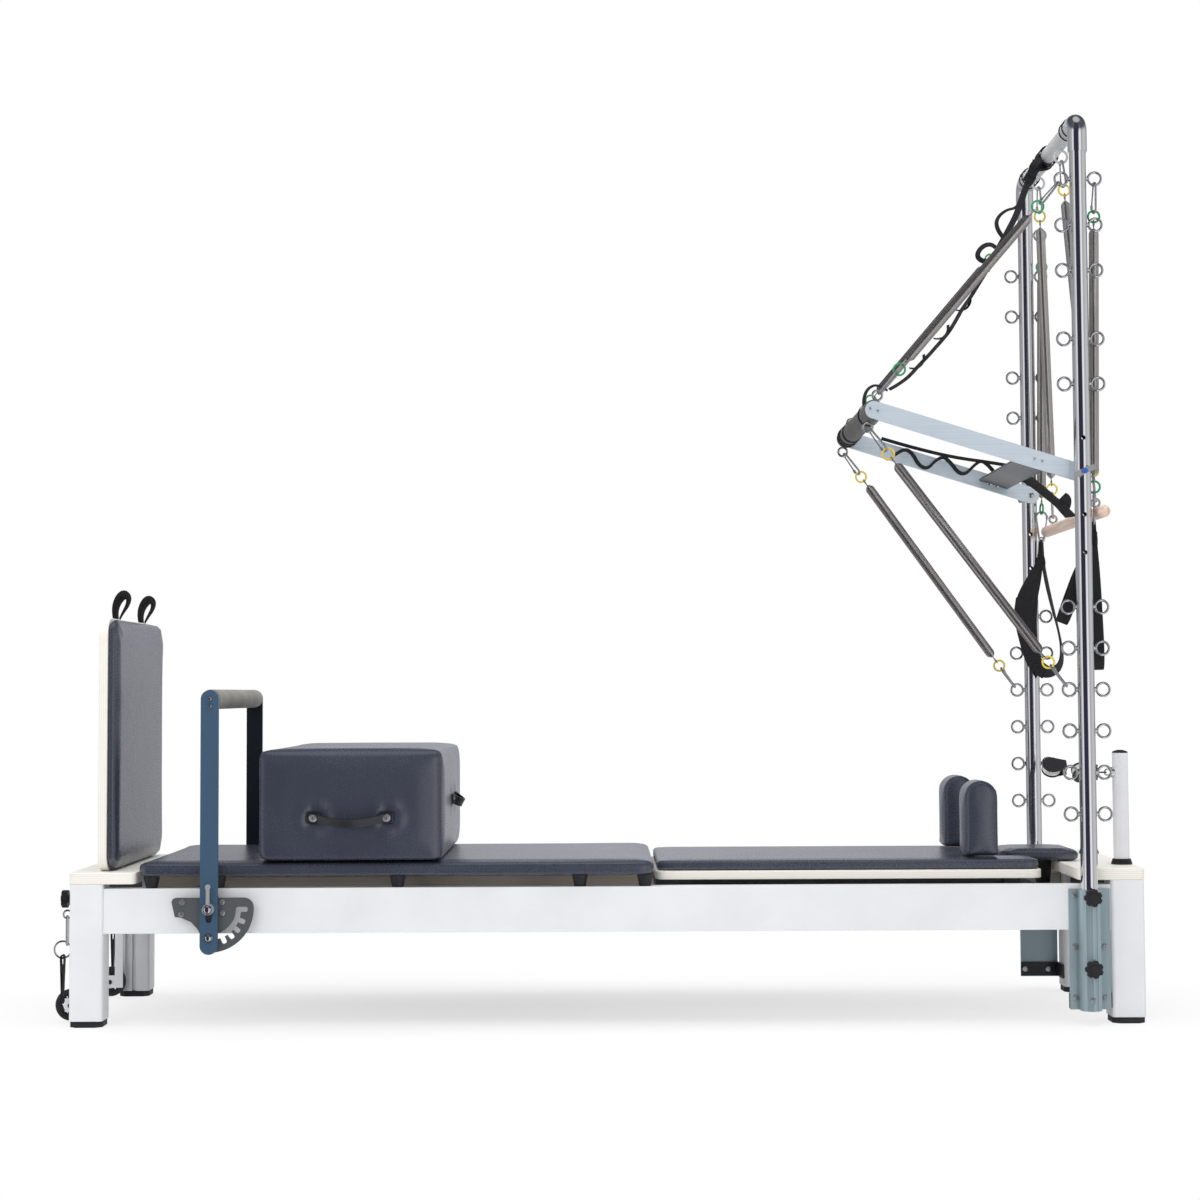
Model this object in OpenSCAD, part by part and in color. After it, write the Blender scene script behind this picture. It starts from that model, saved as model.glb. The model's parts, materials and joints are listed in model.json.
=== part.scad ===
// Pilates reformer with a half trapeze tower, a mat conversion, a sitting box and a jump board.
// X runs along the frame, from the foot end (-X) to the tower (+X). Y runs across, Z is up.

/* [Frame] */
// Length of the frame over its corner legs
frame_l = 2420; // [2300:10:2600]
// Width of the frame over its side rails
frame_w = 640; // [600:5:700]
// Height of the side rails' top face above the floor
rail_top = 310; // [290:5:340]
// Height of the side rails' profile
rail_h = 101; // [90:1:115]
// Thickness of the side rails' profile
rail_t = 42; // [36:1:48]
// Wall of the hollow aluminium profiles
wall = 4; // [3:0.5:5]
// Leg section along the frame
leg_x = 76; // [66:1:90]
// Leg section across the frame
leg_y = 80; // [70:1:90]
// Height of the rubber feet
foot_h = 14; // [8:1:20]
// How far the legs stand proud of the side rails
leg_proud = 5; // [3:1:8]
// Thickness of the plywood end boards
board_t = 26; // [20:1:30]
// Depth of the plywood end boards along the frame
board_d = 150; // [130:1:165]
// Diameter of the transport wheels
wheel_d = 72; // [60:1:76]

/* [Mat and box] */
// Thickness of the mat that covers the foot half of the frame
mat_t = 33; // [26:1:40]
// Width of the mat
mat_w = 662; // [620:1:680]
// Length of the mat
mat_l = 1168; // [1100:1:1180]
// Height of the mat's rubber feet
mat_foot_h = 27; // [24:1:34]
// Length of the sitting box along the frame
box_x = 424; // [360:1:450]
// Width of the sitting box across the frame
box_y = 690; // [600:5:720]
// Height of the sitting box
box_h = 254; // [200:1:300]

/* [Jump board] */
// Height of the jump board
jump_h = 576; // [480:1:620]
// Width of the jump board
jump_w = 596; // [520:1:630]
// Thickness of the jump board's plywood
jump_ply = 20; // [15:1:24]
// Thickness of the jump board's pad
jump_pad_t = 24; // [18:1:30]

/* [Carriage] */
// Length of the carriage
carriage_l = 881; // [850:1:884]
// Width of the carriage
carriage_w = 520; // [480:1:530]
// Thickness of the carriage's plywood
carriage_ply = 20; // [15:1:22]
// Thickness of the carriage's pad
carriage_pad_t = 25; // [20:1:35]
// Diameter of the carriage wheels
roller_d = 50; // [44:1:54]
// Width of the headrest
headrest_w = 200; // [160:1:230]
// Length of the headrest
headrest_l = 190; // [176:1:200]
// Thickness of the headrest
headrest_t = 28; // [22:1:36]
// Height of the shoulder rests
shoulder_h = 178; // [150:1:200]

/* [Foot bar] */
// Height of the foot bar's top edge above the floor
footbar_top = 756; // [680:1:790]
// Width of the foot bar's flat arms
arm_w = 40; // [34:1:44]
// Thickness of the foot bar's flat arms
arm_t = 10; // [8:1:12]
// Diameter of the foot bar's padded grip
grip_d = 45; // [38:1:50]
// Radius of the locking pin's path about the pivot
pin_path = 64.5; // [62:0.5:68]

/* [Tower] */
// Height of the tower over its crossbar
tower_h = 2064; // [1990:2:2120]
// Diameter of the tower's tubes
tube_d = 38; // [34:1:40]
// Distance of the tower from the end of the frame
tower_in = 128; // [124:1:135]
// Height of the lowest eyebolts
eye_z = 469; // [455:1:480]
// Spacing of the lower eyebolts
eye_pitch = 93; // [88:1:96]
// Height of the push-through bar's pivot
pivot_z = 1240; // [1232:1:1250]
// Length of the push-through bar's arms, pivot to grip
ptb_l = 490; // [440:5:510]
// Slope of the push-through bar above level, in degrees
ptb_slope = 17.4; // [10:0.1:22]
// Diameter of the push-through bar's grip
ptb_grip_d = 48; // [40:1:52]
// Outer diameter of the hanging and slanting springs
spring_d = 18; // [14:1:20]
// Height of the roll-down bar
dowel_z = 1150; // [1140:1:1160]
// Diameter of the roll-down bar
dowel_d = 28; // [24:1:32]
// Length of the roll-down bar
dowel_l = 730; // [716:2:744]
// Height of the pulley posts above the end board
post_h = 256; // [230:1:300]
// Diameter of the pulley posts
post_d = 36; // [32:1:40]

/* [Hidden] */
$fn = 48;
eps = 0.01;
fit = 0.05;
touch = 0.3;
link_gap = 0.5;

leg_out = frame_l / 2;
leg_in = leg_out - leg_x;
tower_x = leg_out - tower_in;
rail_y = frame_w / 2;
rail_in = rail_y - rail_t;
rail_bottom = rail_top - rail_h;
leg_edge = rail_y + leg_proud;
board_lap = 2;
board_gap = 10;
leg_top = rail_top + board_gap;
deck_z = leg_top + board_t;
board_edge = leg_out + board_lap;

wheel_y = 226;
wheel_w = 22;
wheel_z = wheel_d / 2 + 4;
wheel_x = -leg_out - 14;
x_low = wheel_x - wheel_d / 2;
x_high = board_edge;
x_mid = (x_low + x_high) / 2;

mat_x0 = -board_edge + board_d + 3;
mat_x1 = mat_x0 + mat_l;
mat_z = rail_top + mat_foot_h;
mat_top = mat_z + mat_t;
mat_foot_x = [for (k = [30, 181, 587, 999, 1146]) mat_x0 + k * mat_l / 1168];
box_x0 = mat_x0 + 271;

track_w = 28;
track_t = 4;
ledge_z = rail_bottom + 37;
ledge_t = 6;

car_x0 = mat_x1 + 3;
car_x1 = car_x0 + carriage_l;
car_z = rail_top + board_gap;
pad_z = car_z + carriage_ply;
car_top = pad_z + carriage_pad_t;
axle_z = ledge_z + roller_d / 2 + touch;
axle_r = 6;
axle_x = [car_x0 + 68, car_x1 - 65];
chassis_t = 24;
chassis_y = 200;
chassis_w = 30;
hanger_t = 8;
hanger_y = 226;
head_gap = 16;
notch_d = 85;
head_x0 = car_x1 - notch_d + head_gap;
head_z = max(deck_z, car_z) + 2;
hinge_z = head_z - 12;
hinge_x = head_x0 + 6;
hinge_r = 4;
tongue_z = car_z - 20;
tongue_t = 6;
stop_x = board_edge - board_d - 22;
stop_z = ledge_z + 44;
ear_y = 60;
ear_t = 6;
shoulder_x = 82;
shoulder_y = 118;
shoulder_x0 = car_x1 - 172;
shoulder_mid_y = carriage_w / 2 - 89;

jump_x1 = -board_edge + 103;
jump_x0 = jump_x1 - jump_pad_t - jump_ply;
jump_top = deck_z + jump_h;

pivot_x = 320 - leg_out;
bar_z = rail_bottom + 58;
plate_t = 6;
plate_y = rail_y + 20;
arm_y = plate_y + plate_t + 6;
arm_out = arm_y + arm_t;
arm_low = bar_z - 101.6;
slot_l = 24;
bolt_r = 6.8;
pin_r = 4.5;
comb_in = pin_path + pin_r + 1.5;
comb_out = comb_in + 14.5;
window_in = pin_path - pin_r - 1.5;
sector_r = comb_out + 13.4;
notch_w = 11.5;
notch_deg = [0, 24, 38.4, 52, 68.5, 88.4];
plate_bolts = [[-62, 14], [-63.5, -12], [27, 14], [28, -10]];

tube_r = tube_d / 2;
tube_y = rail_y + 26;
socket_t = 6;
socket_wall = 4.5;
socket_z0 = 32;
socket_z1 = rail_top - 9;
socket_r = tube_r + socket_wall;
socket_left = 43;
socket_right = 49;
knob_stem_r = 4;
knob_face = tube_y + socket_r;
knob_zs = [socket_z1 - 16, socket_z1 - 174];
sleeve_r = tube_r + 3;
bend_r = 26;
beam_z = tower_h - sleeve_r;
sleeve_low = beam_z - bend_r - 44;
beam_half = tube_y - bend_r - 12;
top_eye_z = pivot_z + 670;
eye_zs = concat([for (i = [0:5]) eye_z + i * eye_pitch],
                [for (d = [470, 367, 210, 106, 0]) top_eye_z - d]);
eye_R = 14.7;
eye_r = 2.8;
eye_off = tube_r + 19;
hole_zs = [pivot_z + 76, pivot_z, pivot_z - 98, pivot_z - 184];
hole_r = 5;
tube_foot = socket_z0 + 8;

ptb_y = tube_y - tube_r - 4 - arm_t;
ptb_r = ptb_grip_d / 2;
ptb_end = [tower_x - ptb_l * cos(ptb_slope), pivot_z + ptb_l * sin(ptb_slope)];
ptb_up = [sin(ptb_slope), cos(ptb_slope)];
ptb_eye_y = 290;
ptb_eye_R = 11;
ptb_eye_off = ptb_r + 14;
brace_at = 100;
brace_w = 75;
brace_t = 6;

link_r = 2.5;
dowel_r = dowel_d / 2;
chain_x = tower_x + tube_r + 8;
dowel_x = chain_x + link_r + dowel_r + 1.5;
dowel_eye_y = 265;
dowel_eye_R = 9;
dowel_eye_z = dowel_z + dowel_r + 11;
beam_eye_y = 150;
beam_eye_z = beam_z - tube_r - 19;

post_x = leg_out - 22;
post_y = 190;
post_r = post_d / 2;
collar_r = post_r + 6;
collar_h = 13;
pulley_z = deck_z + 211;
pulley_eye = post_r + 11;

// Spring assemblies run from eye A to eye B: link, ring, spring, ring, link
link_l = 45;
link_half = 7;
ring_R = 11;
ring_r = 2;
hook_R = 5;
hook_r = 1.5;
coil_turns = 8;
coil_sides = 6;
coil_steps = 8;
coil_wire = 1.6;
first_link = eye_R - eye_r - link_r - link_gap;
first_ring = first_link + link_l - link_r - ring_r - link_gap + ring_R;
first_hook = first_ring + ring_R - ring_r - hook_r - link_gap + hook_R;
coil_start = first_hook + hook_R + hook_r + coil_wire - 0.75;
coil_r = spring_d / 2 - coil_wire;
coil_taper = 0.06;

// Least gap between neighbouring turns of the shortest spring, measured on its points
coil_gap = coil_clear(430);
echo("least gap between the turns of a spring, mm", coil_gap);

post_eye_top = [tower_x - eye_off, tube_y, top_eye_z];
post_eye_low = [tower_x - eye_off, tube_y, eye_z + 3 * eye_pitch];
bar_eye_top = [ptb_end[0] + ptb_up[0] * ptb_eye_off, ptb_eye_y, ptb_end[1] + ptb_up[1] * ptb_eye_off];
bar_eye_low = [ptb_end[0] - ptb_up[0] * ptb_eye_off, ptb_eye_y, ptb_end[1] - ptb_up[1] * ptb_eye_off];
upper_a = eye_point(post_eye_top, eye_R, bar_eye_top);
upper_b = eye_point(bar_eye_top, ptb_eye_R, post_eye_top);
lower_a = eye_point(bar_eye_low, ptb_eye_R, post_eye_low);
lower_b = eye_point(post_eye_low, eye_R, bar_eye_low);
beam_eye_at = [tower_x, beam_eye_y, beam_eye_z];
dowel_eye_at = [dowel_x, dowel_eye_y, dowel_eye_z];
bar_a = eye_point(beam_eye_at, eye_R, dowel_eye_at);
bar_b = eye_point(dowel_eye_at, dowel_eye_R, beam_eye_at);
chain_tilt = 26;
// Length of the tilted carabiner between the eye's wire and the ring's wire
chain_l = link_l - (eye_R - first_link) - link_r - ring_r - link_gap;
chain_y = tube_y - chain_l * sin(chain_tilt);
hang_x = tower_x + eye_off;
hang_z = top_eye_z;
loop_extra = 10;
loop_a = [hang_x, chain_y, hang_z - eye_R - chain_l * cos(chain_tilt) - ring_R + first_ring];
loop_b = [chain_x, chain_y, dowel_z - 32];

// Start of a spring assembly on an eye whose ring faces across the frame: the link's bow then
// turns about the eye's wire
function eye_point(c, R, far) = let (d = far - c) c + R * unit([d[0], 0, d[2]]) - eye_R * unit(d);

// Shared helpers
module placed() { translate([-x_mid, 0, 0]) children(); }

module both() {
  children();
  mirror([0, 1, 0]) children();
}

module ends() {
  children();
  mirror([1, 0, 0]) children();
}

// Rectangle with rounded corners, centred, of exact arcs
module round_rect(a, b, r) {
  square([a - 2 * r, b], center = true);
  square([a, b - 2 * r], center = true);
  for (i = [-1, 1], j = [-1, 1]) translate([i * (a / 2 - r), j * (b / 2 - r)]) circle(r);
}

// Upright slab standing on z0
module slab(x0, x1, y0, y1, z0, z1, r) {
  translate([(x0 + x1) / 2, (y0 + y1) / 2, z0])
    linear_extrude(z1 - z0) round_rect(x1 - x0, y1 - y0, r);
}

module block(x0, x1, y0, y1, z0, z1) {
  translate([x0, y0, z0]) cube([x1 - x0, y1 - y0, z1 - z0]);
}

// Rod along Y from y0 to y1
module rod_y(x, z, y0, y1, r) {
  translate([x, y0, z]) rotate([-90, 0, 0]) cylinder(r = r, h = y1 - y0);
}

module torus(R, r) { rotate_extrude() translate([R, 0]) circle(r, $fn = 24); }

module half_torus(R, r) { rotate_extrude(angle = 180) translate([R, 0]) circle(r, $fn = 24); }

// Outline of a pad: rounded rectangle as points
function pad_ring(a, b, r, n) = [for (c = [0:3], i = [0:n])
  let (t = c * 90 + i * 90 / n, sx = (c == 0 || c == 3) ? 1 : -1, sy = c < 2 ? 1 : -1)
  [sx * (a / 2 - r) + r * cos(t), sy * (b / 2 - r) + r * sin(t)]];

// Cushion on a flat base: drawn-in foot, full waist, rolled edge and a crown
module cushion(a, b, h, r, roll, crown, n = 3) {
  levels = [[0, roll * 0.45], [h * 0.16, roll * 0.1], [h * 0.5, 0], [h - crown - roll * 0.55, roll * 0.08],
            [h - crown - roll * 0.12, roll * 0.45], [h - crown, roll * 1.1], [h - crown * 0.25, min(a, b) * 0.24]];
  m = 4 * (n + 1);
  pts = [for (l = levels) for (p = pad_ring(a - 2 * l[1], b - 2 * l[1], max(r - l[1] * 0.5, 2), n))
         [p[0], p[1], l[0]]];
  top = len(levels) - 1;
  walls = [for (k = [0:top - 1], i = [0:m - 1]) let (j = (i + 1) % m)
    each [[k * m + i, (k + 1) * m + i, (k + 1) * m + j], [k * m + i, (k + 1) * m + j, k * m + j]]];
  foot = [for (i = [0:m - 1]) [len(pts), i, (i + 1) % m]];
  roof = [for (i = [0:m - 1]) [len(pts) + 1, top * m + (i + 1) % m, top * m + i]];
  polyhedron(concat(pts, [[0, 0, 0], [0, 0, h]]), concat(walls, foot, roof), convexity = 4);
}

// Points and faces of one spring: an unbroken tube wound about Z
function coil_k(t) = min(1, min(t, 1 - t) / coil_taper);
function coil_rad(t) = coil_r * (0.22 + 0.78 * coil_k(t));
function coil_pt(t, l) = let (a = 360 * coil_turns * t) [coil_rad(t) * cos(a), coil_rad(t) * sin(a), l * t];
function unit(v) = v / norm(v);
function coil_ring(t, l) = let (
    a = 360 * coil_turns * t,
    out = [cos(a), sin(a), 0],
    along = unit([-sin(a) * coil_r * 2 * PI * coil_turns, cos(a) * coil_r * 2 * PI * coil_turns, l]),
    side = cross(along, out))
  [for (k = [0:coil_sides - 1]) let (b = 360 * k / coil_sides)
    coil_pt(t, l) + coil_wire * (cos(b) * out + sin(b) * side)];
function coil_clear(l) = min([for (i = [1:coil_steps * coil_turns - coil_steps - 1])
    let (n = coil_steps * coil_turns)
    norm(coil_pt(i / n, l) - coil_pt((i + coil_steps) / n, l)) - 2 * coil_wire]);

module coil(l) {
  n = coil_steps * coil_turns;
  m = coil_sides;
  pts = [for (i = [0:n]) each coil_ring(i / n, l)];
  skin = [for (i = [0:n - 1], k = [0:m - 1]) let (j = (k + 1) % m)
    each [[i * m + k, (i + 1) * m + j, i * m + j], [i * m + k, (i + 1) * m + k, (i + 1) * m + j]]];
  low = [for (k = [1:m - 2]) [0, k, k + 1]];
  high = [for (k = [1:m - 2]) [n * m, n * m + k + 1, n * m + k]];
  polyhedron(pts, concat(skin, low, high), convexity = 10);
}

// Long closed link in the YZ plane, its first bow at z = 0
module link(l, half, r) {
  rotate([90, 0, 90]) {
    translate([0, half, 0]) rotate([0, 0, 180]) half_torus(half, r);
    translate([0, l - half, 0]) half_torus(half, r);
    for (s = [-1, 1]) translate([s * half, half, 0]) rotate([-90, 0, 0]) cylinder(r = r, h = l - 2 * half);
  }
}

// Places a child built along +Z so that it runs from a to b, with its Y side kept level
module aim(a, b) {
  w = unit(b - a);
  v = unit([0, 1, 0] - w * w[1]);
  u = cross(v, w);
  multmatrix([[u[0], v[0], w[0], a[0]], [u[1], v[1], w[1], a[1]], [u[2], v[2], w[2], a[2]], [0, 0, 0, 1]])
    children();
}

// One end of a spring assembly: link through the eye, coloured ring and the spring's hook
module spring_end(extra = 0, linked = true) {
  if (linked) translate([0, 0, first_link]) link(link_l + extra, link_half, link_r);
  translate([0, 0, first_ring + extra]) rotate([90, 0, 0]) torus(ring_R, ring_r);
  translate([0, 0, first_hook + extra]) rotate([0, 90, 0]) torus(hook_R, hook_r);
}

// Whole spring assembly between the centres of two eyes
module spring_set(a, b, extra = 0, linked = true) {
  l = norm(b - a);
  aim(a, b) {
    spring_end(0, linked);
    translate([0, 0, coil_start]) coil(l - 2 * coil_start - extra);
    translate([0, 0, l]) rotate([180, 0, 0]) spring_end(extra);
  }
}

// Flat strap in the XZ plane, swept across Y, through a list of [x, z] points
function strap_side(p, t, s) = [for (i = [0:len(p) - 1])
  let (a = p[max(i - 1, 0)], b = p[min(i + 1, len(p) - 1)], d = unit(b - a))
  p[i] + s * t / 2 * [-d[1], d[0]]];
function flipped(v) = [for (i = [len(v) - 1:-1:0]) v[i]];
module strap(p, y, w, t) {
  translate([0, y + w / 2, 0]) rotate([90, 0, 0])
    linear_extrude(w) polygon(concat(strap_side(p, t, 1), flipped(strap_side(p, t, -1))));
}

// Frame
module side_rails() {
  placed() color("white") both() difference() {
    block(-leg_in, leg_in, rail_in, rail_y, rail_bottom, rail_top);
    block(-leg_in - 1, leg_in + 1, rail_in + wall, rail_y - wall, rail_bottom + wall, ledge_z - wall);
    block(-leg_in - 1, leg_in + 1, rail_in + wall, rail_y - wall, ledge_z + wall, rail_top - wall);
    // Long slot in the outer face, under the top edge of the inner side
    block(-leg_in - 1, leg_in + 1, rail_in - 1, rail_in + 1.5, rail_top - 16, rail_top - 8);
  }
}

module carriage_tracks() {
  placed() color("silver") both() {
    block(-leg_in, leg_in, rail_in - track_t, rail_in, rail_bottom + 10, rail_top - 18);
    block(-leg_in, leg_in, rail_in - track_w, rail_in - track_t, ledge_z - ledge_t, ledge_z);
    block(-leg_in, leg_in, rail_in - track_w, rail_in - track_w + 3, ledge_z - ledge_t - 10, ledge_z - ledge_t);
  }
}

module leg_profile() {
  difference() {
    round_rect(leg_x, leg_y, 8);
    translate([0, 6]) round_rect(leg_x - 2 * wall, leg_y - 12 - 2 * wall, 5);
    translate([0, -leg_y / 2]) square([8, 9], center = true);
    translate([0, -leg_y / 2 + 6]) square([15, 4], center = true);
  }
}

module corner_legs() {
  placed() color("white") ends() both()
    translate([leg_out - leg_x / 2, leg_edge - leg_y / 2, foot_h])
      linear_extrude(leg_top - foot_h) leg_profile();
}

module leg_feet() {
  c = 14;
  a = leg_x / 2 - 1;
  b = leg_y / 2 - 1;
  placed() color("#222426") ends() both()
    translate([leg_out - leg_x / 2, leg_edge - leg_y / 2, 0])
      linear_extrude(foot_h)
        polygon([[a - c, -b], [a, c - b], [a, b - c], [a - c, b], [c - a, b], [-a, b - c], [-a, c - b], [c - a, -b]]);
}

module end_boards() {
  placed() color("#f2eadc") {
    slab(-board_edge, -board_edge + board_d, -leg_edge - 1, leg_edge + 1, leg_top, deck_z, 14);
    slab(board_edge - board_d, board_edge, -leg_edge - 1, leg_edge + 1, leg_top, deck_z, 14);
  }
}

spring_bar_x = mat_x0 + 60;
spring_run = mat_l * 0.48;
spring_rest_x = spring_bar_x + spring_run;
beam_at = [0.447, 0.747];
spring_ys = [-150, -75, 0, 75, 150];
spring_lie = ledge_z + 16;

module cross_beams() {
  placed() color("#3a3d42") {
    for (x = [-leg_out + leg_x / 2, leg_out - leg_x / 2])
      block(x - 20, x + 20, leg_y - leg_edge, leg_edge - leg_y, rail_bottom, rail_top);
    for (k = beam_at) let (x = (2 * k - 1) * leg_in)
      block(x - 20, x + 20, track_t - rail_in, rail_in - track_t, rail_bottom, rail_bottom + 20);
    // Low beam that the headrest's rubber stop stands on
    block(stop_x - 20, stop_x + 20, track_t - rail_in, rail_in - track_t, ledge_z, stop_z);
    // Bar that holds the springs and the comb that their free ends lie in
    difference() {
      block(spring_bar_x - 8, spring_bar_x + 8, -rail_in + track_w, rail_in - track_w,
            spring_lie - 24, spring_lie + 12);
      for (y = spring_ys) translate([spring_bar_x - 9, y, spring_lie])
        rotate([0, 90, 0]) cylinder(r = 4.2, h = 18);
    }
    difference() {
      block(spring_rest_x - 10, spring_rest_x + 10, -rail_in + track_w, rail_in - track_w,
            spring_lie - 24, spring_lie);
      for (y = spring_ys) translate([spring_rest_x - 11, y, spring_lie])
        rotate([0, 90, 0]) cylinder(r = 11.2, h = 22);
    }
  }
}

module reformer_springs() {
  placed() color("#c9c9c4") for (y = spring_ys)
    translate([spring_bar_x - 14, y, spring_lie]) rotate([0, 90, 0]) {
      cylinder(r = 8, h = 4);
      cylinder(r = 4, h = 32);
      translate([0, 0, 32]) cylinder(r1 = 4, r2 = 11, h = 12);
      translate([0, 0, 44]) cylinder(r = 11, h = spring_run);
      translate([0, 0, 44 + spring_run]) cylinder(r1 = 11, r2 = 4, h = 12);
      translate([0, 0, 56 + spring_run]) cylinder(r = 4, h = 10);
      translate([0, 0, 76 + spring_run]) rotate([90, 0, 0]) torus(12, 2.5);
    }
}

// Foot bar's notched sector plates, drawn about the pivot
corner_r = 22;
corner_u = sqrt((sector_r - corner_r) * (sector_r - corner_r) - 4);
sector_from = -90 - asin(17 / sector_r);
sector_to = atan(2 / corner_u);
function arc(c, r, a0, a1, n) = [for (i = [0:n]) let (a = a0 + (a1 - a0) * i / n) c + r * [cos(a), sin(a)]];
sector_edge = concat(
  arc([-76, 14], 10, 90, 180, 4),
  [[-78.5, -18.8], [-64.7, -20], [-42, -30], [-29.6, -42.6], [-22, -55], [-19, -65]],
  arc([0, 0], sector_r, sector_from, sector_to, 26),
  arc([corner_u, 2], corner_r, sector_to + 8, 90, 8));

module sector_outline() {
  difference() {
    polygon(sector_edge);
    circle(bolt_r + fit);
    // Window for the pin, with its notches
    intersection() {
      difference() {
        circle(comb_in);
        circle(window_in);
      }
      polygon([[0, 0], [-9, -sector_r * 1.2], [sector_r * 1.2, -sector_r * 1.2], [sector_r * 1.4, 4]]);
    }
    for (a = notch_deg) rotate(a) translate([0, -comb_in - 2]) round_rect(notch_w, 2 * (comb_out - comb_in - 2), 4);
    for (p = plate_bolts) translate(p) circle(3);
  }
}

module sector_plates() {
  placed() color("#7e868c") both() {
    translate([pivot_x, plate_y + plate_t, bar_z]) rotate([90, 0, 0])
      linear_extrude(plate_t) sector_outline();
    for (p = plate_bolts) difference() {
      rod_y(pivot_x + p[0], bar_z + p[1], rail_y, plate_y, 7);
      rod_y(pivot_x + p[0], bar_z + p[1], rail_y - 1, plate_y + 1, 3);
    }
  }
}

module pivot_bolts() {
  placed() color("#8f979d") both() {
    rod_y(pivot_x, bar_z, rail_y, arm_out + 6, bolt_r);
    rod_y(pivot_x, bar_z, plate_y + plate_t, arm_y - touch, 13);
    rod_y(pivot_x, bar_z, arm_out + touch, arm_out + 4, 13.4);
  }
}

// Domed bolt head against a face at y, pointing outwards
module dome(x, y, z, r = 6.5) {
  translate([x, y, z]) rotate([-90, 0, 0]) {
    difference() {
      union() {
        cylinder(r = r, h = 2);
        translate([0, 0, 2]) cylinder(r1 = r, r2 = r * 0.6, h = 2.5);
      }
      translate([0, 0, 2.2]) cylinder(r = r * 0.35, h = 4, $fn = 6);
    }
  }
}

socket_bolts = [[-30.4, 255], [-30.4, 140], [-30.4, 26], [36, 140], [36, 26]];

module frame_bolts() {
  placed() color("silver") both() {
    for (p = plate_bolts) dome(pivot_x + p[0], plate_y + plate_t, bar_z + p[1]);
    for (p = socket_bolts) dome(tower_x + p[0], rail_y + socket_t, socket_z0 + p[1]);
    dome(tower_x, tube_y + socket_r, socket_z0 + 24);
    for (x = [tower_x - 34, tower_x + 24]) mirror([0, 1, 0]) dome(x, -rail_y + 6, socket_z0 + 19);
    for (s = [-1, 1]) dome(box_x0 + box_x / 2 + s * box_screw_gap / 2, box_y / 2 + touch + tab_t, box_screw_z, 9);
  }
}

box_screw_gap = 165;
box_screw_z = mat_top + 98;

// Tower
module socket_profile() {
  difference() {
    union() {
      translate([-socket_left, rail_y]) square([socket_left + socket_right, socket_t]);
      translate([0, tube_y]) circle(socket_r);
      translate([-socket_r, rail_y]) square([2 * socket_r, tube_y - rail_y]);
    }
    translate([0, tube_y]) circle(tube_r + 0.15);
    for (a = [62, 90, 118]) translate([0, tube_y]) rotate(a) translate([socket_r, 0]) circle(1.2, $fn = 16);
  }
}

module tower_sockets() {
  placed() color("#86a8a8") both() difference() {
    translate([tower_x, 0, socket_z0]) linear_extrude(socket_z1 - socket_z0) socket_profile();
    for (z = knob_zs) rod_y(tower_x, z, tube_y, knob_face + 1, knob_stem_r + fit);
  }
}

module socket_braces() {
  placed() color("#2b2e33") both() {
    block(tower_x - 44, leg_in, rail_y - 6, rail_y, socket_z0 + 2, socket_z0 + 36);
    block(leg_in - 6, leg_in, rail_y - 70, rail_y - 6, socket_z0 + 2, socket_z0 + 36);
  }
}

module tower_uprights() {
  placed() color("#c8cbd0") both() difference() {
    translate([tower_x, tube_y, tube_foot]) cylinder(r = tube_r, h = sleeve_low - tube_foot);
    translate([tower_x, tube_y, tube_foot - 1]) cylinder(r = tube_r - 2.5, h = sleeve_low - tube_foot + 2);
    for (z = hole_zs) rod_y(tower_x, z, tube_y - tube_r - 1, tube_y + tube_r + 1, hole_r);
  }
}

module tower_elbows() {
  placed() color("#c8cbd0") both() {
    translate([tower_x, tube_y, sleeve_low]) cylinder(r = sleeve_r, h = beam_z - bend_r - sleeve_low);
    translate([tower_x, tube_y - bend_r, beam_z - bend_r]) rotate([0, 90, 0]) rotate([0, 0, 90])
      rotate_extrude(angle = 90) translate([bend_r, 0]) circle(sleeve_r);
    rod_y(tower_x, beam_z, beam_half, tube_y - bend_r, sleeve_r);
  }
}

module tower_crossbar() {
  placed() color("#b9bbbd") {
    rod_y(tower_x, beam_z, -beam_half, beam_half, tube_r);
    both() translate([tower_x, beam_eye_y, beam_z]) beam_eye();
  }
}

// Eye under the crossbar, its ring facing along the beam
module beam_eye() {
  difference() {
    union() {
      translate([0, 0, -tube_r - 19]) rotate([90, 0, 0]) torus(eye_R, eye_r);
      translate([0, 0, -tube_r - 6]) cylinder(r = 3, h = 9);
    }
    rotate([90, 0, 0]) cylinder(r = tube_r - 3, h = 40, center = true);
  }
}

module eyebolt() {
  difference() {
    union() {
      translate([eye_off, 0, 0]) rotate([90, 0, 0]) torus(eye_R, eye_r);
      translate([tube_r - 4, 0, 0]) rotate([0, 90, 0]) cylinder(r = 3, h = 8.5);
      translate([tube_r - 3, 0, 0]) rotate([0, 90, 0]) cylinder(r = 5.5, h = 5, $fn = 6);
    }
    cylinder(r = tube_r + touch, h = 60, center = true);
  }
}

module tower_eyebolts() {
  placed() color("silver") both() for (z = eye_zs, s = [0, 180])
    translate([tower_x, tube_y, z]) rotate([0, 0, s]) eyebolt();
}

// Pulley posts
module pulley_posts() {
  placed() color("white") both() difference() {
    translate([post_x, post_y, deck_z]) cylinder(r = post_r, h = post_h);
    translate([post_x, post_y, deck_z - 1]) cylinder(r = post_r - 3, h = post_h + 2);
  }
}

module post_trim() {
  placed() color("#222426") both() translate([post_x, post_y, deck_z]) {
    difference() {
      rotate_extrude() polygon([[0, 0], [collar_r, 0], [collar_r, 3], [post_r + 2.5, collar_h], [0, collar_h]]);
      translate([0, 0, -1]) cylinder(r = post_r + touch, h = collar_h + 2);
    }
    translate([0, 0, post_h]) difference() {
      intersection() {
        translate([0, 0, 7 - 2 * post_r]) sphere(r = 2 * post_r);
        cylinder(r = post_r, h = 20);
      }
    }
  }
}

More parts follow.
